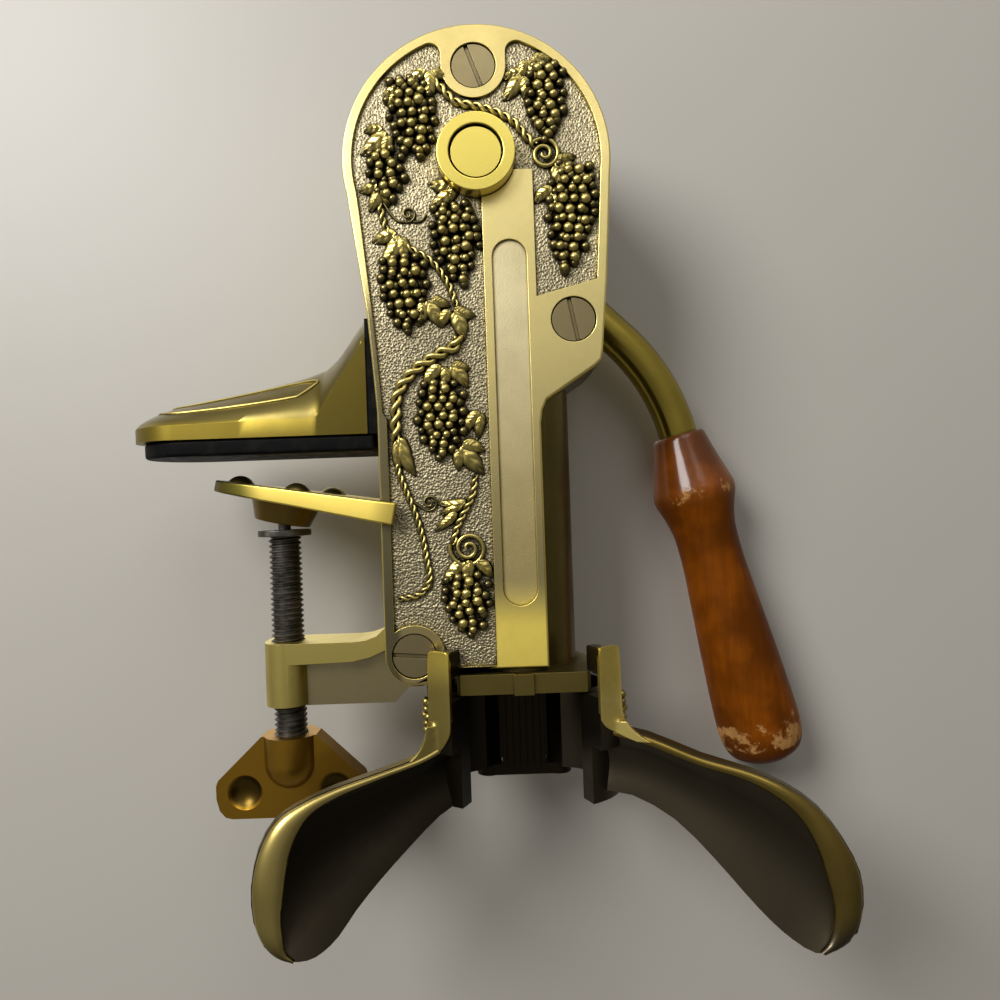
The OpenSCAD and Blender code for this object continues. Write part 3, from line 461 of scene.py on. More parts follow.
def prepare_materials():
    GROUPS.update(cast_grain=make_cast_grain(), patina=make_patina())
    c = colours()
    # Painted shade where the handles' rims darken towards their tips.
    rim_tip = along("Z", -140.0, -152.0)
    # High colour, polish, reach of the hollows in mm, mottle, grain in mm, layers, dark and light openness
    castings = dict(
        bright=(c.bright, 0.26, 1.2, 0.12, 0.03),
        polished=(c.polished, 0.27, 1.6, 0.2, 0.05),
        housing=(c.antique, 0.32, 3, 0.3, 0.09,
                 ((ARM_BRASS, along("X", 49.5, 46.5)), (WEB_BRASS, arm_web)), 0.2, 0.8),
        collar=((0.21, 0.16, 0.043), 0.32, 3, 0.35, 0.09, ((SHADED, shaded_bracket),), 0.2, 0.8),
        foot=((0.285, 0.212, 0.034), 0.3, 2.5, 0.3, 0.05,
              (((0.19, 0.15, 0.045), along("Z", 10.6, 12)), ((0.13, 0.098, 0.018), foot_side)), 0.2, 0.8),
        cup=((0.17, 0.11, 0.025), 0.3, 2.5, 0.3, 0.05, (), 0.2, 0.8),
        plate=((0.66, 0.505, 0.105), 0.36, 1.5, 0.2, 0.04,
               (((0.14, 0.118, 0.022), along("X", 4, -5)),), 0.2, 0.8),
        knob=((0.37, 0.20, 0.021), 0.3, 3, 0.3, 0.05, (((0.085, 0.052, 0.010), dimple),), 0.2),
        rod=((0.35, 0.265, 0.045), 0.19, 2, 0.2, 0.03),
        # Painted shade and light on the jaws: their insides are painted shade, the left and right rims and
        # strips are lit and shaded copies of one brass, and the strips' brighter layers are painted
        # highlights.
        left_jaw=(SHADED, 0.34, 8, 0.3, 0.07, ((c.antique, outside(-1)),), 0.1, 0.9),
        right_jaw=(SOFT_SHADE, 0.30, 8, 0.3, 0.07, ((c.antique, outside(1)),), 0.1, 0.9),
        left_rim=((0.46, 0.36, 0.115), 0.27, 2.5, 0.3, 0.04, ((SHADED, rim_tip),)),
        right_rim=((0.22, 0.155, 0.036), 0.27, 2.5, 0.3, 0.04, ((SOFT_SHADE, rim_tip),)),
        left_strip=((0.42, 0.33, 0.095), 0.28, 2.5, 0.3, 0.04, (((0.84, 0.65, 0.13), along("Z", -78, -67)),)),
        right_strip=((0.88, 0.67, 0.16), 0.28, 2.5, 0.3, 0.04, (((1.0, 0.80, 0.24), along("Z", -74, -84)),)),
        rib=((0.46, 0.365, 0.10), 0.28, 2.5, 0.3, 0.04),
        jaw_relief=((0.34, 0.27, 0.08), 0.27, 1.5, 0.2, 0.04),
        screw=((0.28, 0.225, 0.115), 0.36, 1.6, 0.3, 0.05),
    )
    for name, values in castings.items():
        MATERIALS[name] = brass(name + "_brass", *values)
    MATERIALS.update(
        cover=cover_brass(), relief=relief_brass("relief_brass", -20.4, -22.7),
        leaf=relief_brass("leaf_brass", -19.3, -20.7), steel=dark_steel("dark_steel", c.steel, 0.34),
        rubber=black_rubber(), wood=worn_wood())


# Mesh helpers

SEAM = 0.001 * MM  # points nearer than this are one point


def sheet(rows):
    """A grid of faces through rows of bench points, as many in each row."""
    bm = bmesh.new()
    bmesh.ops.create_grid(bm, x_segments=len(rows[0]) - 1, y_segments=len(rows) - 1, size=1.0)
    for vert, point in zip(bm.verts, (point for row in rows for point in row)):
        vert.co = at(*point)
    bm.normal_update()
    return bm


def loft(rings):
    """A closed skin through rings of bench points."""
    bm = sheet([ring + ring[:1] for ring in rings])
    bmesh.ops.remove_doubles(bm, verts=bm.verts, dist=SEAM)
    bmesh.ops.edgeloop_fill(bm, edges=[e for e in bm.edges if e.is_boundary])
    bmesh.ops.recalc_face_normals(bm, faces=bm.faces)
    return bm


def profile_line(bm, points):
    """Vertices and edges through points of the part's frame in millimetres."""
    verts = [bm.verts.new(point * MM) for point in points]
    return verts + [bm.edges.new(pair) for pair in zip(verts, verts[1:])]


def add_ball(bm, place, radius):
    bmesh.ops.create_icosphere(bm, subdivisions=2, radius=radius * MM, matrix=Matrix.Translation(place))


def round_modifier(piece, width, angle):
    bevel = piece.modifiers.new("edges", "BEVEL")
    bevel.width = width * MM
    bevel.segments = 3
    bevel.limit_method = "ANGLE"
    bevel.angle_limit = math.radians(angle)


def mesh_of(name, bm):
    """The mesh of a bmesh, which is freed."""
    mesh = bpy.data.meshes.new(name)
    bm.to_mesh(mesh)
    bm.free()
    return mesh


def add_object(name, data):
    """A new object in the scene."""
    holder = bpy.data.objects.new(name, data)
    bpy.context.scene.collection.objects.link(holder)
    return holder


def finish_piece(name, bm, material, body, smooth_angle=40.0, weighted=False):
    """Turns a bmesh that is already in place into a piece that rides on a body."""
    mesh = mesh_of(name, bm)
    for polygon in mesh.polygons:
        polygon.use_smooth = True
    mesh.set_sharp_from_angle(angle=math.radians(smooth_angle))
    mesh.materials.append(MATERIALS[material])
    piece = add_object(name, mesh)
    if weighted:
        piece.modifiers.new("normals", "WEIGHTED_NORMAL").keep_sharp = True
    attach(piece, body)
    return piece


def dress(node, material, edge=None, angle=35.0):
    """Gives a CAD node its finish and smooth shading, and rounds its edges by edge millimetres."""
    piece = NODES[node]
    piece.data.materials.clear()
    piece.data.materials.append(MATERIALS[material])
    for polygon in piece.data.polygons:
        polygon.use_smooth = True
    piece.modifiers.new("weld", "WELD").merge_threshold = 2 * SEAM
    if edge:
        flat = piece.modifiers.new("flat", "DECIMATE")
        flat.decimate_type = "DISSOLVE"
        flat.angle_limit = math.radians(0.5)
        round_modifier(piece, edge, angle)
        piece.modifiers.new("normals", "WEIGHTED_NORMAL").keep_sharp = True
    else:
        piece.modifiers.new("split", "EDGE_SPLIT").split_angle = math.radians(angle)


def merged_copy(node):
    """A bmesh of a CAD node with its triangles joined and its flat faces cleaned."""
    bm = bmesh.new()
    bm.from_mesh(NODES[node].data)
    bmesh.ops.remove_doubles(bm, verts=bm.verts, dist=2 * SEAM)
    bmesh.ops.dissolve_limit(bm, angle_limit=math.radians(0.4), verts=bm.verts, edges=bm.edges)
    return bm


def round_edges(bm, edges, width, segments):
    bmesh.ops.bevel(bm, geom=edges, offset=width, offset_type="OFFSET", segments=segments, profile=0.5,
                    affect="EDGES", clamp_overlap=True, material=-1)


def add_tube(bm, points, radius, taper=None):
    """A round tube along points, radius in millimetres; taper gives each point's share of it."""
    curve = bpy.data.curves.new("route", "CURVE")
    curve.dimensions = "3D"
    curve.bevel_depth = radius * MM
    curve.bevel_resolution = 2
    curve.use_fill_caps = True
    spline = curve.splines.new("POLY")
    spline.points.add(len(points) - 1)
    for index, point in enumerate(points):
        spline.points[index].co = (*point, 1.0)
        spline.points[index].radius = taper[index] if taper else 1.0
    holder = bpy.data.objects.new("route", curve)
    mesh = bpy.data.meshes.new_from_object(holder)
    bm.from_mesh(mesh)
    bpy.data.objects.remove(holder)
    bpy.data.meshes.remove(mesh)
    bpy.data.curves.remove(curve)


def smooth_path(points, steps):
    """A Catmull-Rom path through points of any size, with so many steps to each span."""
    padded = [2 * Vector(points[0]) - Vector(points[1])] + [Vector(p) for p in points]
    padded.append(2 * Vector(points[-1]) - Vector(points[-2]))
    path = []
    for i in range(1, len(padded) - 2):
        a, b, c, d = padded[i - 1:i + 3]
        for k in range(steps):
            t = k / steps
            path.append(0.5 * (2 * b + (c - a) * t + (2 * a - 5 * b + 4 * c - d) * t * t
                               + (3 * b - a - 3 * c + d) * t ** 3))
    path.append(Vector(points[-1]))
    return path


class CORKSCREW_OT_cover(bpy.types.Operator):
    """Finish the front cover, its screws and the ring of the lever axle"""

    bl_idname = "corkscrew.cover"
    bl_label = "Cover"

    def execute(self, context):
        prepare_materials()
        cover = merged_copy("front_cover")
        front = FRONT_Y * MM
        outer = [e for e in cover.edges if all(abs(v.co.y - front) < 0.01 * MM for v in e.verts)
                 and any(v.co.y > (PANEL_Y + 2.0) * MM for f in e.link_faces for v in f.verts)]
        round_edges(cover, outer, sizes().edge * 1.6, 4)
        inner = [e for e in cover.edges if len(e.link_faces) == 2 and e.calc_face_angle() > math.radians(55)
                 and all(v.co.y < front + 0.5 * MM for v in e.verts)]
        round_edges(cover, inner, 0.2 * MM, 2)
        piece = finish_piece("cover_casting", cover, "cover", "frame", 50.0, True)
        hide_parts("front_cover")
        dress("cover_screws", "screw", 0.25)
        dress("axle_ring", "bright", 0.7)
        dress("lever_axle", "bright", 0.6)
        return {"FINISHED"}


# A dark plate behind the collar's tongue, put there as painted shade: it hides the table seen through the
# bracket's slits.
BACK_PLACE = Matrix.Translation(at(0.0, 18.8, -27.8))
BACK_SIZE = (18.0, 1.4, 27.0)


class CORKSCREW_OT_housing(bpy.types.Operator):
    """Finish the rear housing, the neck collar and what is fixed to them"""

    bl_idname = "corkscrew.housing"
    bl_label = "Housing"

    def execute(self, context):
        dress("rear_housing", "housing", 0.8)
        dress("neck_collar", "collar", 0.5)
        back = bmesh.new()
        bmesh.ops.create_cube(back, size=MM, matrix=BACK_PLACE @ Matrix.Diagonal((*BACK_SIZE, 1.0)))
        round_edges(back, back.edges[:], 0.3 * MM, 2)
        finish_piece("neck_shade_plate", back, "collar", "frame", 40.0, True)
        dress("rear_bush", "steel", 0.3)
        dress("jaw_pins", "steel", 0.3)
        return {"FINISHED"}


# Bunches of grapes on the cover: (top x, top z, tip x, tip z, width)
BUNCHES = (
    (-31, 191.4, -28.4, 166, 17), (-40, 168.2, -37.8, 152.8, 14), (-18.4, 150, -15.4, 124.6, 16.4),
    (-35, 133.6, -33.4, 110, 17), (13.4, 194.4, 13.6, 170.6, 14.6), (22.4, 161.4, 18.2, 127.2, 16.4),
    (-23.4, 92.4, -24.4, 68.6, 17.6), (-18.2, 29.8, -16.4, 11, 16.6))
# Lobes of the leaves: (foot x, foot z, direction in degrees, length, width)
LOBES = (
    (-23.4, 194, -96, 10.5, 5.6), (-25, 194.2, -135, 8, 4.6), (-22.6, 194.2, -35, 5.5, 3.8),
    (-33.6, 188.6, 212, 6.8, 4.4), (-35, 186.4, 245, 5.2, 3.6), (-38.3, 174.6, 219, 11.4, 6.4),
    (-37.4, 173.2, 258, 7, 4.6), (-39.4, 175.2, 182, 6.4, 4), (-40.6, 156.4, 240, 8.6, 5),
    (-41.6, 157.4, 196, 6.6, 4.2), (-39.8, 155.6, 285, 5.4, 3.6), (-17.4, 157, 176, 8.4, 5.4),
    (-17.2, 156, 216, 10.2, 5.6), (-16.8, 156.6, 252, 6.6, 4.2), (-35.2, 141.2, 236, 12.6, 6),
    (-36, 141.8, 198, 8.8, 5.2), (-34.2, 140.4, 276, 8, 4.8), (-27.2, 119.8, -62, 10.4, 5.8),
    (-28.4, 119.2, -104, 8.2, 5), (-25.6, 120.2, -22, 6.6, 4.2), (-18.6, 116.6, -18, 7.6, 4.8),
    (-18.4, 115.8, -72, 9.8, 5.6), (-19.8, 116.4, -120, 6.6, 4.4), (5.4, 191.8, 236, 10.2, 5.6),
    (6, 192.4, 198, 6.4, 4.4), (6.4, 191, 272, 7.4, 4.6), (8.4, 196.6, -58, 9.4, 5.4),
    (9.4, 197, -16, 7.6, 4.8), (7.4, 196, -100, 6.4, 4.4), (15.4, 163, -26, 10.8, 5.8),
    (15.2, 161.8, -64, 8.8, 5), (16.4, 163.8, 10, 6.6, 4.4), (15.6, 154.4, -104, 9.8, 5.6),
    (14.6, 154.8, -140, 7.6, 4.8), (-23.2, 98.8, 232, 9.4, 5), (-22.4, 98.2, 268, 7.4, 4.4),
    (-20.2, 98.4, -54, 9.2, 5.6), (-19.4, 99, -18, 6, 4.2), (-11.4, 83.4, 236, 8.4, 4.6),
    (-10.8, 82.8, 262, 8.6, 4.2), (-17.8, 72.6, -54, 12.4, 6.6), (-17.4, 73.2, -20, 8, 5),
    (-18.6, 71.6, -92, 7.4, 4.6), (-37.4, 76, -70, 14, 5.6), (-38.4, 75, -88, 11, 3.8),
    (-16.4, 54.2, 179, 9.4, 3.8), (-19.6, 51.2, 220, 9.8, 3.8), (-17.6, 53.2, 199, 8.2, 3.4),
    (-18.8, 35.4, 229, 10.4, 5.2), (-17.6, 35.2, -84, 7.8, 4.8), (-13.8, 35.2, -52, 7.6, 4.6),
    (-16, 35.6, 258, 7.4, 4.2))
# Stems of the vine: (radius of a strand, distance of the strands from the middle), then bench points (x, z)
STEMS = (
    (0.72, 0.85, ((-22.4, 190.8), (-16, 183.8), (-10.1, 182.2), (-3, 180), (2.8, 176.5), (6.6, 171.8),
        (9.8, 168.4))),
    (0.62, 0.72, ((-41.4, 151.6), (-39.7, 143.8), (-36.4, 139.6), (-31.4, 136.3), (-25, 132.1),
        (-20, 124.7), (-17.6, 117.4))),
    (0.95, 1.1, ((-17.2, 108), (-18.6, 104.6), (-24.8, 101.7), (-32.3, 96.8), (-37.3, 90.3), (-38.4, 82.9),
        (-38.6, 74.8))),
    (0.60, 0.66, ((-38.6, 75.4), (-38.4, 65.9), (-35.9, 58.4), (-33.2, 50.9), (-31.2, 43.5), (-30, 36),
        (-29.3, 29.6), (-32.6, 24.8), (-39.6, 23.4))),
    (0.62, 0.70, ((-13.4, 62.6), (-14.5, 56.2), (-17.6, 50.4), (-20.4, 44.6), (-21, 40.4))))
# Tendrils: (x, z, size, turns, first angle in degrees, hand, strand radius)
TENDRILS = (
    (-32.3, 147.8, 2.7, 1.6, 240, 1, 0.42), (-28.6, 54.4, 2.9, 1.7, 215, 1, 0.42),
    (-16.4, 39.2, 6.2, 2.1, 165, 1, 0.8), (12.4, 165.6, 5.4, 1.9, 140, -1, 0.8),
    (-30.2, 27.6, 1.8, 1.2, 60, -1, 0.4))
# Thin runners that end in tendrils: bench points (x, z)
RUNNERS = (
    ((-40.4, 152.4), (-38.2, 148.6), (-35.8, 145.8), (-33.6, 145.4)),
    ((-36.2, 59.6), (-34.2, 55.4), (-31, 52.7)),
    ((-26.4, 147.6), (-28, 145.6), (-30.6, 145.2)),
    ((-25.8, 54), (-23.4, 52.8), (-20.8, 52.6)))
RUNNER_RADIUS = 0.42
ROW_STEP, GRAPE_STEP = 1.8, 2.02  # between rows and between grapes of a row, in grape radii
SCATTER = 0.4  # of a grape's place, in millimetres
LOBE_EDGE, LOBE_ROOT = 0.25, -0.2  # heights of a lobe's edge and of its foot over the panel
STEM_TWIST = 0.8  # millimetres that a strand winds round for each one along
TENDRIL_STEPS = 22  # to a turn


def add_bunch(bm, bunch, draw):
    """One bunch: loose rows of grapes that narrow to the tip, with larger ones heaped on the middle."""
    top, tip, width = Vector(bunch[0:2]), Vector(bunch[2:4]), bunch[4]
    axis = tip - top
    length = axis.length
    axis.normalize()
    side = Vector((-axis.y, axis.x))
    for layer, share in ((0, 1.0), (1, 0.6)):
        grape = sizes().grape / MM * (1.0 + 0.06 * layer)
        rows = max(int(round(length / (grape * ROW_STEP))), 4)
        for row in range(rows + 1 - layer):
            t = (row + 0.5 * layer) / rows
            span = width * share * math.sin(math.pi * (0.25 + 0.68 * t)) ** 0.85
            count = max(int(round(span / (grape * 2.0))), 1)
            for k in range(count):
                across = (k - (count - 1) / 2) * grape * GRAPE_STEP + (0.3 if row % 2 else -0.3) * grape
                crown = max(1.0 - (across / (width * 0.62)) ** 2, 0.0)
                lift = 0.3 + 0.7 * crown * (1.0 - 0.4 * t) + 1.25 * layer * (1.0 - 0.35 * t)
                spot = top + axis * (t * length) + side * across
                place = at(spot.x + draw.uniform(-SCATTER, SCATTER), PANEL_Y - lift,
                           spot.y + draw.uniform(-SCATTER, SCATTER))
                add_ball(bm, place, grape * draw.uniform(0.82, 1.08))


def add_lobe(bm, lobe, draw):
    """One pointed lobe of a leaf with a creased midrib and side veins, standing on the panel."""
    x, z, direction, length, width = lobe
    made = bmesh.ops.create_grid(bm, x_segments=18, y_segments=12, size=0.5)
    turn = math.radians(direction)
    lift = draw.uniform(0.5, 0.9)
    bend = draw.uniform(-0.1, 0.1)
    for vert in made["verts"]:
        u, v = vert.co.x + 0.5, vert.co.y * 2.0
        half = max(0.5 * width * 2.6 * (u * 0.96 + 0.02) ** 0.55 * (1.0 - u * 0.98) ** 0.95, 0.1)
        half *= 1.0 + 0.14 * abs(math.sin(u * 4.0 * math.pi)) - 0.07
        px, py = u * length, v * half + bend * length * math.sin(math.pi * u)
        crease = 0.42 * math.exp(-(v / 0.14) ** 2)
        veins = 0.26 * math.cos((u * 3.5 - abs(v) * 0.9) * 2 * math.pi) * (1 - v * v)
        cup = 1.05 * (1.0 - abs(v) ** 2.4) * math.sin(math.pi * min(u + 0.12, 1.0)) ** 0.6
        height = lift + cup + crease * math.sin(math.pi * u) + veins
        if abs(v) > 0.99 or u < 0.01 or u > 0.99:
            height = LOBE_EDGE
        vert.co = at(x + px * math.cos(turn) - py * math.sin(turn), PANEL_Y - height,
                     z + px * math.sin(turn) + py * math.cos(turn))
    rim = [e for e in {e for v in made["verts"] for e in v.link_edges} if e.is_boundary]
    sunk = bmesh.ops.extrude_edge_only(bm, edges=rim)["geom"]
    for vert in (g for g in sunk if isinstance(g, bmesh.types.BMVert)):
        vert.co.y = (PANEL_Y - LOBE_ROOT) * MM
    foot = [g for g in sunk if isinstance(g, bmesh.types.BMEdge) and g.is_boundary]
    bmesh.ops.edgeloop_fill(bm, edges=foot)


def add_stem(bm, stem):
    """A stem of two strands that twist round each other."""
    radius, apart, points = stem
    path = smooth_path(points, 14)
    for strand in (0.0, math.pi):
        route, travelled = [], 0.0
        for i, point in enumerate(path):
            ahead = path[min(i + 1, len(path) - 1)] - path[max(i - 1, 0)]
            side = Vector((-ahead.y, ahead.x)).normalized()
            if i:
                travelled += (point - path[i - 1]).length
            angle = travelled * STEM_TWIST / apart + strand
            off = apart * math.cos(angle)
            depth = PANEL_Y - radius - 0.55 * apart * math.sin(angle)
            route.append(at(point.x + side.x * off, depth, point.y + side.y * off))
        ends = [1.0 if 2 < i < len(route) - 3 else 0.7 for i in range(len(route))]
        add_tube(bm, route, radius, ends)


def add_tendril(bm, tendril):
    x, z, size, turns, first, hand, radius = tendril
    steps = int(TENDRIL_STEPS * turns)
    route = []
    for i in range(steps + 1):
        t = i / steps
        angle = math.radians(first) + hand * t * turns * 2 * math.pi
        reach = size * (1.0 - 0.88 * t)
        depth = PANEL_Y - radius * 0.9 - 0.5 * t
        route.append(at(x + reach * math.cos(angle), depth, z + reach * math.sin(angle)))
    add_tube(bm, route, radius, [1.0 - 0.3 * i / steps for i in range(steps + 1)])


class CORKSCREW_OT_grapevine(bpy.types.Operator):
    """Model the grapevine relief on the cover's panel"""

    bl_idname = "corkscrew.grapevine"
    bl_label = "Grapevine relief"

    def execute(self, context):
        draw = random.Random(sizes().seed)
        grapes = bmesh.new()
        for bunch in BUNCHES:
            add_bunch(grapes, bunch, draw)
        finish_piece("relief_grapes", grapes, "relief", "frame")
        leaves = bmesh.new()
        for lobe in LOBES:
            add_lobe(leaves, lobe, draw)
        finish_piece("relief_leaves", leaves, "leaf", "frame", 60.0)
        stems = bmesh.new()
        for stem in STEMS:
            add_stem(stems, stem)
        for tendril in TENDRILS:
            add_tendril(stems, tendril)
        for runner in RUNNERS:
            route = [at(p.x, PANEL_Y - 0.4, p.y) for p in smooth_path(runner, 8)]
            add_tube(stems, route, RUNNER_RADIUS)
        finish_piece("relief_stems", stems, "leaf", "frame", 60.0)
        return {"FINISHED"}


# Rolled rims of the handles from root to tip: outer x, z, inner x, z and front y
LEFT_RIM = (
    (-25, -21.8, -24.4, -23.6, -24), (-33.5, -25.6, -33, -27.2, -27), (-46, -28.7, -45.6, -30.4, -31),
    (-59, -31.8, -58, -34.2, -34.5), (-68.6, -35, -65.6, -38, -37.5), (-75.5, -39, -69.8, -43.6, -40),
    (-80.2, -46.5, -72.2, -50.6, -42), (-82.5, -56.5, -73.4, -58.6, -43.5), (-82, -66.5, -74, -66, -44),
    (-79.4, -73.2, -73.6, -71.6, -44), (-75.4, -76.8, -72.8, -75.4, -44), (-70.5, -78.4, -70.2, -77.6, -44))
RIGHT_RIM = (
    (25.5, -18.9, 25.2, -21, -24), (37.5, -21.1, 36.8, -23.6, -27), (52.9, -26.9, 52.2, -29.4, -31),
    (66.6, -30.3, 65.4, -33, -35), (76.9, -34.4, 74.2, -37.6, -38), (85.7, -40.6, 80.6, -43.8, -40),
    (92.2, -49.4, 84.4, -51.4, -42), (96.3, -58.5, 87, -60.6, -43), (97, -68, 88.4, -68.4, -43),
    (95.2, -75, 87.9, -74.4, -43), (91, -79.4, 86.2, -78.6, -43), (85, -81.9, 83.6, -81, -43))
# Front strips of the jaws from hook to handle: z, then the x of the inner and the outer edge
LEFT_STRIP = (
    (7.3, -24.4, -29.2), (6.2, -23.7, -30.4), (0, -23.6, -30.8), (-8, -23.6, -30.8), (-14, -23.6, -31),
    (-18, -23.9, -31.4), (-21, -25.2, -32.3), (-24, -27.4, -34), (-26.4, -31.5, -36.5))
RIGHT_STRIP = (
    (7.3, 24.4, 29.4), (6.2, 23.7, 30.4), (0, 23.6, 30.8), (-8, 23.6, 30.8), (-13, 23.6, 31),
    (-16, 24, 31.6), (-18.4, 26, 32.8), (-20.8, 30, 35.5), (-22.6, 34.5, 38.5))
RIM_SIDES = 16
RIM_PROUD = 1.0  # of the handle's face
# Half depth of a rim: at its thinnest, growth with its half width, and at its thickest
RIM_THIN, RIM_GROWTH, RIM_THICK = 0.55, 0.42, 2.4
STRIP_COLUMNS, STRIP_THICKNESS = 8, 1.5
STRIP_RADIUS = 28.2  # of the sleeve's round face
SLEEVE_FOOT = -16.0
HANDLE_X, HANDLE_Y, HANDLE_LEAN = 30.0, -26.3, 0.35  # the handle's face below the sleeve, and its slope
# Rows of the small bunch on a jaw: z, number of grapes
JAW_BUNCH = (
    (-11, 2), (-13.4, 3), (-15.7, 3), (-18, 3), (-20.3, 2), (-22.6, 2), (-24.8, 1))
JAW_BUNCH_RADIUS = 24.0  # of the sleeve where the bunch lies
JAW_BUNCH_TURN, JAW_GRAPE_TURN, JAW_ROW_TURN = 33.0, 6.6, 1.6  # degrees round the sleeve
JAW_GRAPE = 1.5


def handle_rim(stations):
    """The rolled rim of a handle: a closed loft of flat ovals along its upper edge and round its tip."""
    rings = []
    turns = [2 * math.pi * k / RIM_SIDES for k in range(RIM_SIDES)]
    for outer_x, outer_z, inner_x, inner_z, y in smooth_path(stations, 6):
        across = Vector((outer_x - inner_x, 0.0, outer_z - inner_z)) / 2
        deep = Vector((0.0, min(RIM_THIN + RIM_GROWTH * across.length, RIM_THICK), 0.0))
        middle = Vector(((outer_x + inner_x) / 2, y + deep.y - RIM_PROUD, (outer_z + inner_z) / 2))
        rings.append([middle + across * math.cos(turn) + deep * math.sin(turn) for turn in turns])
    return loft(rings)


def front_strip(rows):
    """The polished strip down a jaw's front, a skin over its round face that runs on into the handle."""
    grid = []
    for z, inner, outer in smooth_path(rows, 4):
        line = []
        for k in range(STRIP_COLUMNS + 1):
            x = inner + (outer - inner) * k / STRIP_COLUMNS
            across = abs(x) - JAW_CENTRE.x
            y = JAW_CENTRE.y - math.sqrt(max(STRIP_RADIUS ** 2 - across ** 2, 0.0))
            if z < SLEEVE_FOOT:  # from here the strip follows the handle
                y = min(y, HANDLE_Y - HANDLE_LEAN * (abs(x) - HANDLE_X))
            line.append((x, y, z))
        grid.append(line)
    bm = sheet(grid)
    bmesh.ops.recalc_face_normals(bm, faces=bm.faces)
    if sum(f.normal.y for f in bm.faces) > 0:
        bmesh.ops.reverse_faces(bm, faces=bm.faces)
    return bm


def jaw_relief(side, draw):
    """A small bunch of grapes on the outside of a jaw's sleeve."""
    bm = bmesh.new()
    for row, (z, count) in enumerate(JAW_BUNCH):
        for k in range(count):
            angle = math.radians(JAW_BUNCH_TURN + (k - (count - 1) / 2) * JAW_GRAPE_TURN
                                 + (JAW_ROW_TURN if row % 2 else -JAW_ROW_TURN))
            place = at(side * (JAW_CENTRE.x + JAW_BUNCH_RADIUS * math.cos(angle)),
                       JAW_CENTRE.y - JAW_BUNCH_RADIUS * math.sin(angle), z + draw.uniform(-0.2, 0.2))
            add_ball(bm, place, JAW_GRAPE * draw.uniform(0.9, 1.1))
    return bm


class CORKSCREW_OT_jaws(bpy.types.Operator):
    """Finish the two jaws, their rolled rims, their front strips and their small relief"""

    bl_idname = "corkscrew.jaws"
    bl_label = "Jaws"

    def execute(self, context):
        draw = random.Random(sizes().seed + 1)
        hands = ("left", -1, LEFT_RIM, LEFT_STRIP), ("right", 1, RIGHT_RIM, RIGHT_STRIP)
        for hand, side, rim, rows in hands:
            body = "jaw_" + hand
            dress(hand + "_jaw", hand + "_jaw", None, 32.0)
            finish_piece(hand + "_handle_rim", handle_rim(rim), hand + "_rim", body)
            finish_piece(hand + "_jaw_relief", jaw_relief(side, draw), "jaw_relief", body)
            strip = finish_piece(hand + "_jaw_strip", front_strip(rows), hand + "_strip", body)
            thick = strip.modifiers.new("thick", "SOLIDIFY")
            thick.thickness = STRIP_THICKNESS * MM
            thick.offset = -1.0
            round_modifier(strip, 0.5, 50)
        return {"FINISHED"}


def spun(profile, axis_start, axis, steps=64):
    """A closed turned shape: profile holds (distance along axis, radius) in millimetres."""
    bm = bmesh.new()
    axis = axis.normalized()
    side = axis.orthogonal().normalized()
    line = profile_line(bm, [axis_start + axis * d + side * r for d, r in profile])
    bmesh.ops.spin(bm, geom=line, cent=axis_start * MM, axis=axis, angle=2 * math.pi,
                   steps=steps, use_merge=True, dvec=(0, 0, 0))
    bmesh.ops.remove_doubles(bm, verts=bm.verts, dist=SEAM)
    bmesh.ops.recalc_face_normals(bm, faces=bm.faces)
    return bm


# The clamp screw's thread: radii and ends, spin steps to a turn, one turn as (radius, share of the pitch)
THREAD_OUTER, THREAD_ROOT, THREAD_LOW, THREAD_HIGH = 5.55, 4.62, -39.0, 44.4
THREAD_STEPS = 28
THREAD_TURN = ((THREAD_ROOT, 0.0), (THREAD_ROOT, 0.12), (THREAD_OUTER, 0.5), (THREAD_OUTER, 0.62),
               (THREAD_ROOT, 1.0))
# Its neck as (height, radius), and the ball on top
NECK = ((44.3, 0.0), (44.3, 3.5), (46.75, 3.5), (46.75, 2.15), (49.2, 2.15))
BALL_Z, BALL_RADIUS = 52.0, 3.55


def threaded_rod():
    """The clamp screw: a V thread up to a shoulder, then its neck and ball."""
    pitch = sizes().thread_pitch / MM
    base = Vector((ROD_X, 0.0, 0.0)) + PAD_CENTRE
    bm = bmesh.new()
    line = profile_line(bm, [base + Vector((r, 0.0, THREAD_LOW - pitch + h * pitch)) for r, h in THREAD_TURN])
    turns = int((THREAD_HIGH - THREAD_LOW) / pitch) + 3
    bmesh.ops.spin(bm, geom=line, cent=base * MM, axis=(0, 0, 1), angle=2 * math.pi * turns,
                   steps=THREAD_STEPS * turns, dvec=(0, 0, pitch * MM / THREAD_STEPS))
    bmesh.ops.remove_doubles(bm, verts=bm.verts, dist=2 * SEAM)
    for level, way in ((THREAD_LOW, -1), (THREAD_HIGH, 1)):
        cut = bmesh.ops.bisect_plane(
            bm, geom=bm.verts[:] + bm.edges[:] + bm.faces[:], dist=1e-7,
            plane_co=(base + Vector((0, 0, level))) * MM, plane_no=(0, 0, way), clear_outer=True)
        edges = [g for g in cut["geom_cut"] if isinstance(g, bmesh.types.BMEdge)]
        bmesh.ops.edgeloop_fill(bm, edges=edges)
    tenths = [a * math.pi / 10 for a in range(3, 10)]
    ball = [(BALL_Z - BALL_RADIUS * math.cos(a), BALL_RADIUS * math.sin(a)) for a in tenths]
    top = spun([*NECK, *ball, (BALL_Z + BALL_RADIUS, 0.0)], base, Vector((0, 0, 1)), 32)
    neck = mesh_of("neck", top)
    bm.from_mesh(neck)
    bpy.data.meshes.remove(neck)
    bmesh.ops.recalc_face_normals(bm, faces=bm.faces)
    return bm


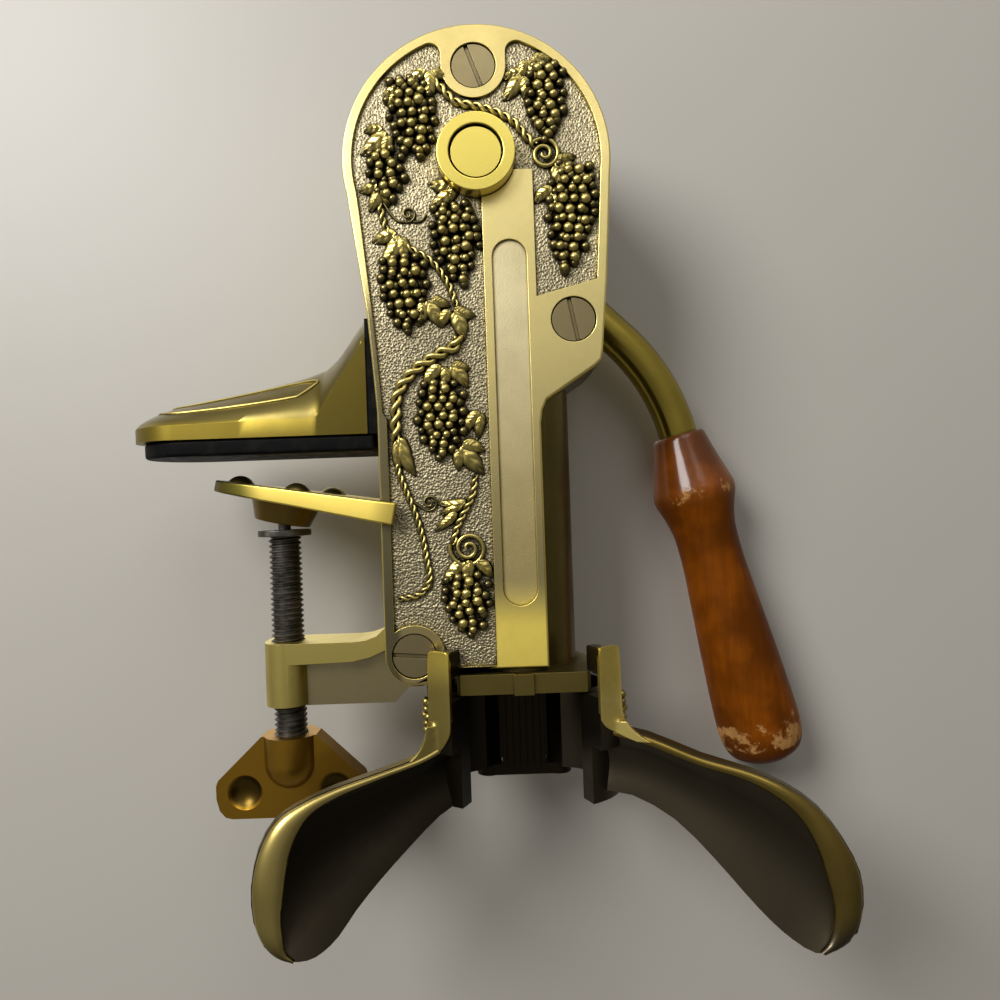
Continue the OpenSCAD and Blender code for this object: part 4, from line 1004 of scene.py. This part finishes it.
# Stations of the foot in the CAD source: distance from the worm's axis, edge height, ridge height
FOOT_ROWS = (
    (48, 108.5, 119.5), (51, 104.5, 116), (54, 99.8, 112), (58, 94, 106.5), (62, 87.8, 102.8),
    (65, 83.5, 101), (72, 83.3, 98.6), (84, 83, 95.8), (96, 82.7, 93.4), (108, 82.4, 91.2), (114, 82.3, 90),
    (120, 82.2, 88.2), (125, 82.1, 86.2), (128, 82, 84.5), (129.7, 81.9, 82.8))
# Half width, start of the round end, underside and columns of faces
FOOT_HALF, FOOT_ROUND, FOOT_Z, FOOT_COLUMNS = 18.0, 112.0, 77.5, 28
FOOT_JOINT = -49.0  # edges nearer to the body stay sharp


def foot_half(d):
    return FOOT_HALF if d <= FOOT_ROUND else math.sqrt(max(FOOT_HALF ** 2 - (d - FOOT_ROUND) ** 2, 1.0))


def foot_point(row, share):
    d, edge, ridge = row
    return Vector((-d, share * foot_half(d), edge + (ridge - edge) * max(1 - share * share, 0.0) ** 0.8))


def foot_row(d):
    for a, b in zip(FOOT_ROWS, FOOT_ROWS[1:]):
        if a[0] <= d <= b[0]:
            t = (d - a[0]) / (b[0] - a[0])
            return tuple(p + (q - p) * t for p, q in zip(a, b))
    return FOOT_ROWS[-1]


def foot_casting():
    """The clamp's foot as a smooth loft through the stations of the CAD source."""
    rings = []
    for row in smooth_path(FOOT_ROWS, 4):
        ring = [foot_point(row, 2 * k / FOOT_COLUMNS - 1) for k in range(FOOT_COLUMNS + 1)]
        rings.append([Vector((*ring[0].xy, FOOT_Z)), *ring, Vector((*ring[-1].xy, FOOT_Z))])
    bm = loft(rings)
    lips = [e for e in bm.edges if len(e.link_faces) == 2 and e.calc_face_angle() > math.radians(28)
            and all(v.co.x < at(FOOT_JOINT, 0, 0).x for v in e.verts)]
    round_edges(bm, lips, 0.35 * MM, 2)
    return bm


# One raised loop on the foot: distance from the worm's axis, share of the half width
RIB_MARKS = (
    (119.5, 0.50), (114, 0.70), (104, 0.765), (88, 0.78), (74, 0.775), (70.5, 0.75), (65.5, 0.60),
    (67, 0.52), (73.5, 0.44), (86, 0.42), (100, 0.42), (110, 0.40), (116, 0.30))
RIB_RADIUS = 0.5


def foot_ribs():
    """Raised lines on the foot's top: one long pointed loop on each side of the ridge."""
    bm = bmesh.new()
    for side in (-1.0, 1.0):
        route = [at(*foot_point(foot_row(d), side * share)) for d, share in smooth_path(RIB_MARKS, 6)]
        add_tube(bm, route, RIB_RADIUS)
    return bm


class CORKSCREW_OT_clamp(bpy.types.Operator):
    """Finish the table clamp and model the thread of its screw"""

    bl_idname = "corkscrew.clamp"
    bl_label = "Clamp"

    def execute(self, context):
        foot = finish_piece("foot_casting", foot_casting(), "foot", "frame", 30.0, True)
        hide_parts("clamp_foot")
        dress("foot_gasket", "rubber")
        dress("clamp_pad", "rubber", 1.2)
        dress("foot_bolts", "steel")
        dress("swivel_cup", "cup", 0.5)
        dress("pressure_plate", "plate", 0.6)
        dress("plate_rivets", "rib")
        dress("thrust_washer", "steel", 0.3)
        dress("wing_knob", "knob", 1.1)
        dress("knob_pin", "steel")
        rod = finish_piece("clamp_screw_thread", threaded_rod(), "steel", "clamp_screw_body", 25.0)
        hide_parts("clamp_screw")
        finish_piece("foot_ribs", foot_ribs(), "rib", "frame")
        return {"FINISHED"}


# The grip's outline: distance from the brass rod's end, radius
GRIP_OUTLINE = (
    (0.6, 9.8), (7.74, 11.6), (14.835, 13.6), (19.35, 14.95), (22.188, 15.65), (25.026, 15.35),
    (27.864, 14.35), (32.25, 12.95), (38.7, 11.8), (50.31, 11.7), (65.79, 12.7), (85.14, 14.1),
    (99.975, 15), (110.94, 15.5), (119.325, 15.3), (124.872, 13.3), (127.968, 9.1))
GRIP_LENGTH = 129.0


class CORKSCREW_OT_lever(bpy.types.Operator):
    """Finish the lever's rod and turn its wooden grip"""

    bl_idname = "corkscrew.lever"
    bl_label = "Lever"

    def execute(self, context):
        dress("lever_arm", "rod", 0.8)
        dress("hub_nut", "steel", 0.6)
        profile = [(0.0, 0.0), (0.0, 9.2), *smooth_path(GRIP_OUTLINE, 6), (GRIP_LENGTH, 0.0)]
        turned = spun(profile, GRIP_START + PAD_CENTRE, GRIP_AXIS)
        grip = finish_piece("wooden_grip", turned, "wood", "lever", 50.0)
        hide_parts("lever_grip")
        return {"FINISHED"}


class CORKSCREW_OT_works(bpy.types.Operator):
    """Finish the works inside the body"""

    bl_idname = "corkscrew.works"
    bl_label = "Works"

    def execute(self, context):
        for node in ("idler_shaft", "drive_gear", "gear_key", "idler_gear", "rack_bar", "rack_pin",
                     "worm", "worm_collar"):
            dress(node, "steel")
        for node in ("carriage", "guide_nut"):
            dress(node, "polished")
        return {"FINISHED"}


# Lamps: name, place from the corkscrew's middle in metres, size in metres, power in watts
LAMPS = (("window", (-0.64, -0.80, 0.58), 0.6, 14.5), ("ceiling", (0.20, -0.80, 0.95), 0.8, 3.0),
         ("rear", (-0.45, 0.95, 0.60), 0.9, 12.0))
# Camera: bench place in millimetres, roll to the right, lens and sensor width in millimetres
EYE = (-5.7, -270.0, 54.4)
EYE_ROLL = math.radians(1.97)
LENS, SENSOR = 27.9, 36.0
ROOM_COLOUR = (0.84, 0.82, 0.78)
MIDDLE = at(-5.0, 0.0, 70.0)  # of the corkscrew
TABLE_HALF = 3.0  # half its width in metres


def area_light(name, place, size, power):
    lamp = bpy.data.lights.new(name, "AREA")
    lamp.shape = "DISK"
    lamp.size = size
    lamp.energy = power
    holder = add_object(name, lamp)
    holder.location = place
    holder.rotation_euler = (MIDDLE - place).to_track_quat("-Z", "Y").to_euler()


def table_material():
    """Pale table, clear from behind and to the rear lamp, so that the back can be looked at."""
    finish = Finish("pale_table", metallic=0.0)
    tree = finish.tree
    tone = noise(tree, finish.place, 9.0, 2.0)
    finish.give({"Base Color": mix_colour(tree, tone, colours().table, tinted(colours().table, 1.06)),
                 "Roughness": 0.5})
    behind = shader_node(tree, "NewGeometry").outputs["Backfacing"]
    shadow = shader_node(tree, "LightPath").outputs["Is Shadow Ray"]
    choose = shader_node(tree, "MixShader", {
        0: math_node(tree, "MAXIMUM", behind, shadow), 1: finish.shader.outputs[0],
        2: shader_node(tree, "BsdfTransparent").outputs[0]})
    tree.links.new(choose.outputs[0], tree.nodes["Material Output"].inputs["Surface"])
    return finish.material


class CORKSCREW_OT_stage(bpy.types.Operator):
    """Lay the table behind the corkscrew and set the light and the camera"""

    bl_idname = "corkscrew.stage"
    bl_label = "Stage"

    def execute(self, context):
        scene = context.scene
        scene.view_settings.view_transform = "Standard"
        bm = bmesh.new()
        upright = Matrix.Rotation(math.pi / 2, 4, "X")
        bmesh.ops.create_grid(bm, x_segments=1, y_segments=1, size=TABLE_HALF,
                              matrix=Matrix.Translation(at(0, TABLE_Y, 60)) @ upright)
        table = add_object("table", mesh_of("table", bm))
        table.data.materials.append(table_material())

        world = bpy.data.worlds.new("soft_room")
        scene.world = world
        world.use_nodes = True
        tree = world.node_tree
        place = shader_node(tree, "TexCoord").outputs["Generated"]
        apart = shader_node(tree, "SeparateXYZ", {0: place}).outputs
        height = ramp_value(tree, apart["Z"], -0.4, 0.65, 0.27, 0.72)
        side = ramp_value(tree, apart["X"], 0.15, 0.85, 1.0, 0.65)
        fill = product(tree, shader_node(tree, "LightPath").outputs["Is Diffuse Ray"], 0.4)
        background = tree.nodes["Background"].inputs
        feed(tree, background["Strength"], product(tree, height, side, without(tree, fill)))
        feed(tree, background["Color"], ROOM_COLOUR)
        for name, offset, size, power in LAMPS:
            area_light(name, MIDDLE + Vector(offset), size, power)

        camera = bpy.data.cameras.new("camera")
        camera.sensor_width = SENSOR
        camera.lens = LENS
        camera.clip_start = 0.01
        holder = add_object("camera", camera)
        right = Vector((math.cos(EYE_ROLL), 0.0, -math.sin(EYE_ROLL)))
        up = Vector((math.sin(EYE_ROLL), 0.0, math.cos(EYE_ROLL)))
        back = Vector((0.0, -1.0, 0.0))
        turn = Matrix((right, up, back)).transposed().to_4x4()
        holder.matrix_world = Matrix.Translation(at(*EYE)) @ turn
        scene.camera = holder
        return {"FINISHED"}


class CORKSCREW_PT_panel(bpy.types.Panel):
    """Sidebar panel that lists the pieces"""

    bl_idname = "CORKSCREW_PT_panel"
    bl_label = "Corkscrew"
    bl_space_type = "VIEW_3D"
    bl_region_type = "UI"
    bl_category = "Corkscrew"

    def draw(self, context):
        for operator in OPERATORS:
            self.layout.operator(operator.bl_idname)
        for group in (context.scene.corkscrew_colours, context.scene.corkscrew_sizes):
            for name in group.__annotations__:
                self.layout.prop(group, name)


OPERATORS = (
    CORKSCREW_OT_cover, CORKSCREW_OT_housing, CORKSCREW_OT_grapevine, CORKSCREW_OT_jaws,
    CORKSCREW_OT_clamp, CORKSCREW_OT_lever, CORKSCREW_OT_works, CORKSCREW_OT_stage,
)
CLASSES = (FinishColours, ReliefSizes, *OPERATORS, CORKSCREW_PT_panel)


def register():
    for cls in CLASSES:
        bpy.utils.register_class(cls)
    bpy.types.Scene.corkscrew_colours = PointerProperty(type=FinishColours)
    bpy.types.Scene.corkscrew_sizes = PointerProperty(type=ReliefSizes)


def unregister():
    del bpy.types.Scene.corkscrew_colours
    del bpy.types.Scene.corkscrew_sizes
    for cls in reversed(CLASSES):
        bpy.utils.unregister_class(cls)


def main():
    register()
    for piece in ("cover", "housing", "grapevine", "jaws", "clamp", "lever", "works", "stage"):
        getattr(bpy.ops.corkscrew, piece)()


if __name__ == "__main__":
    main()
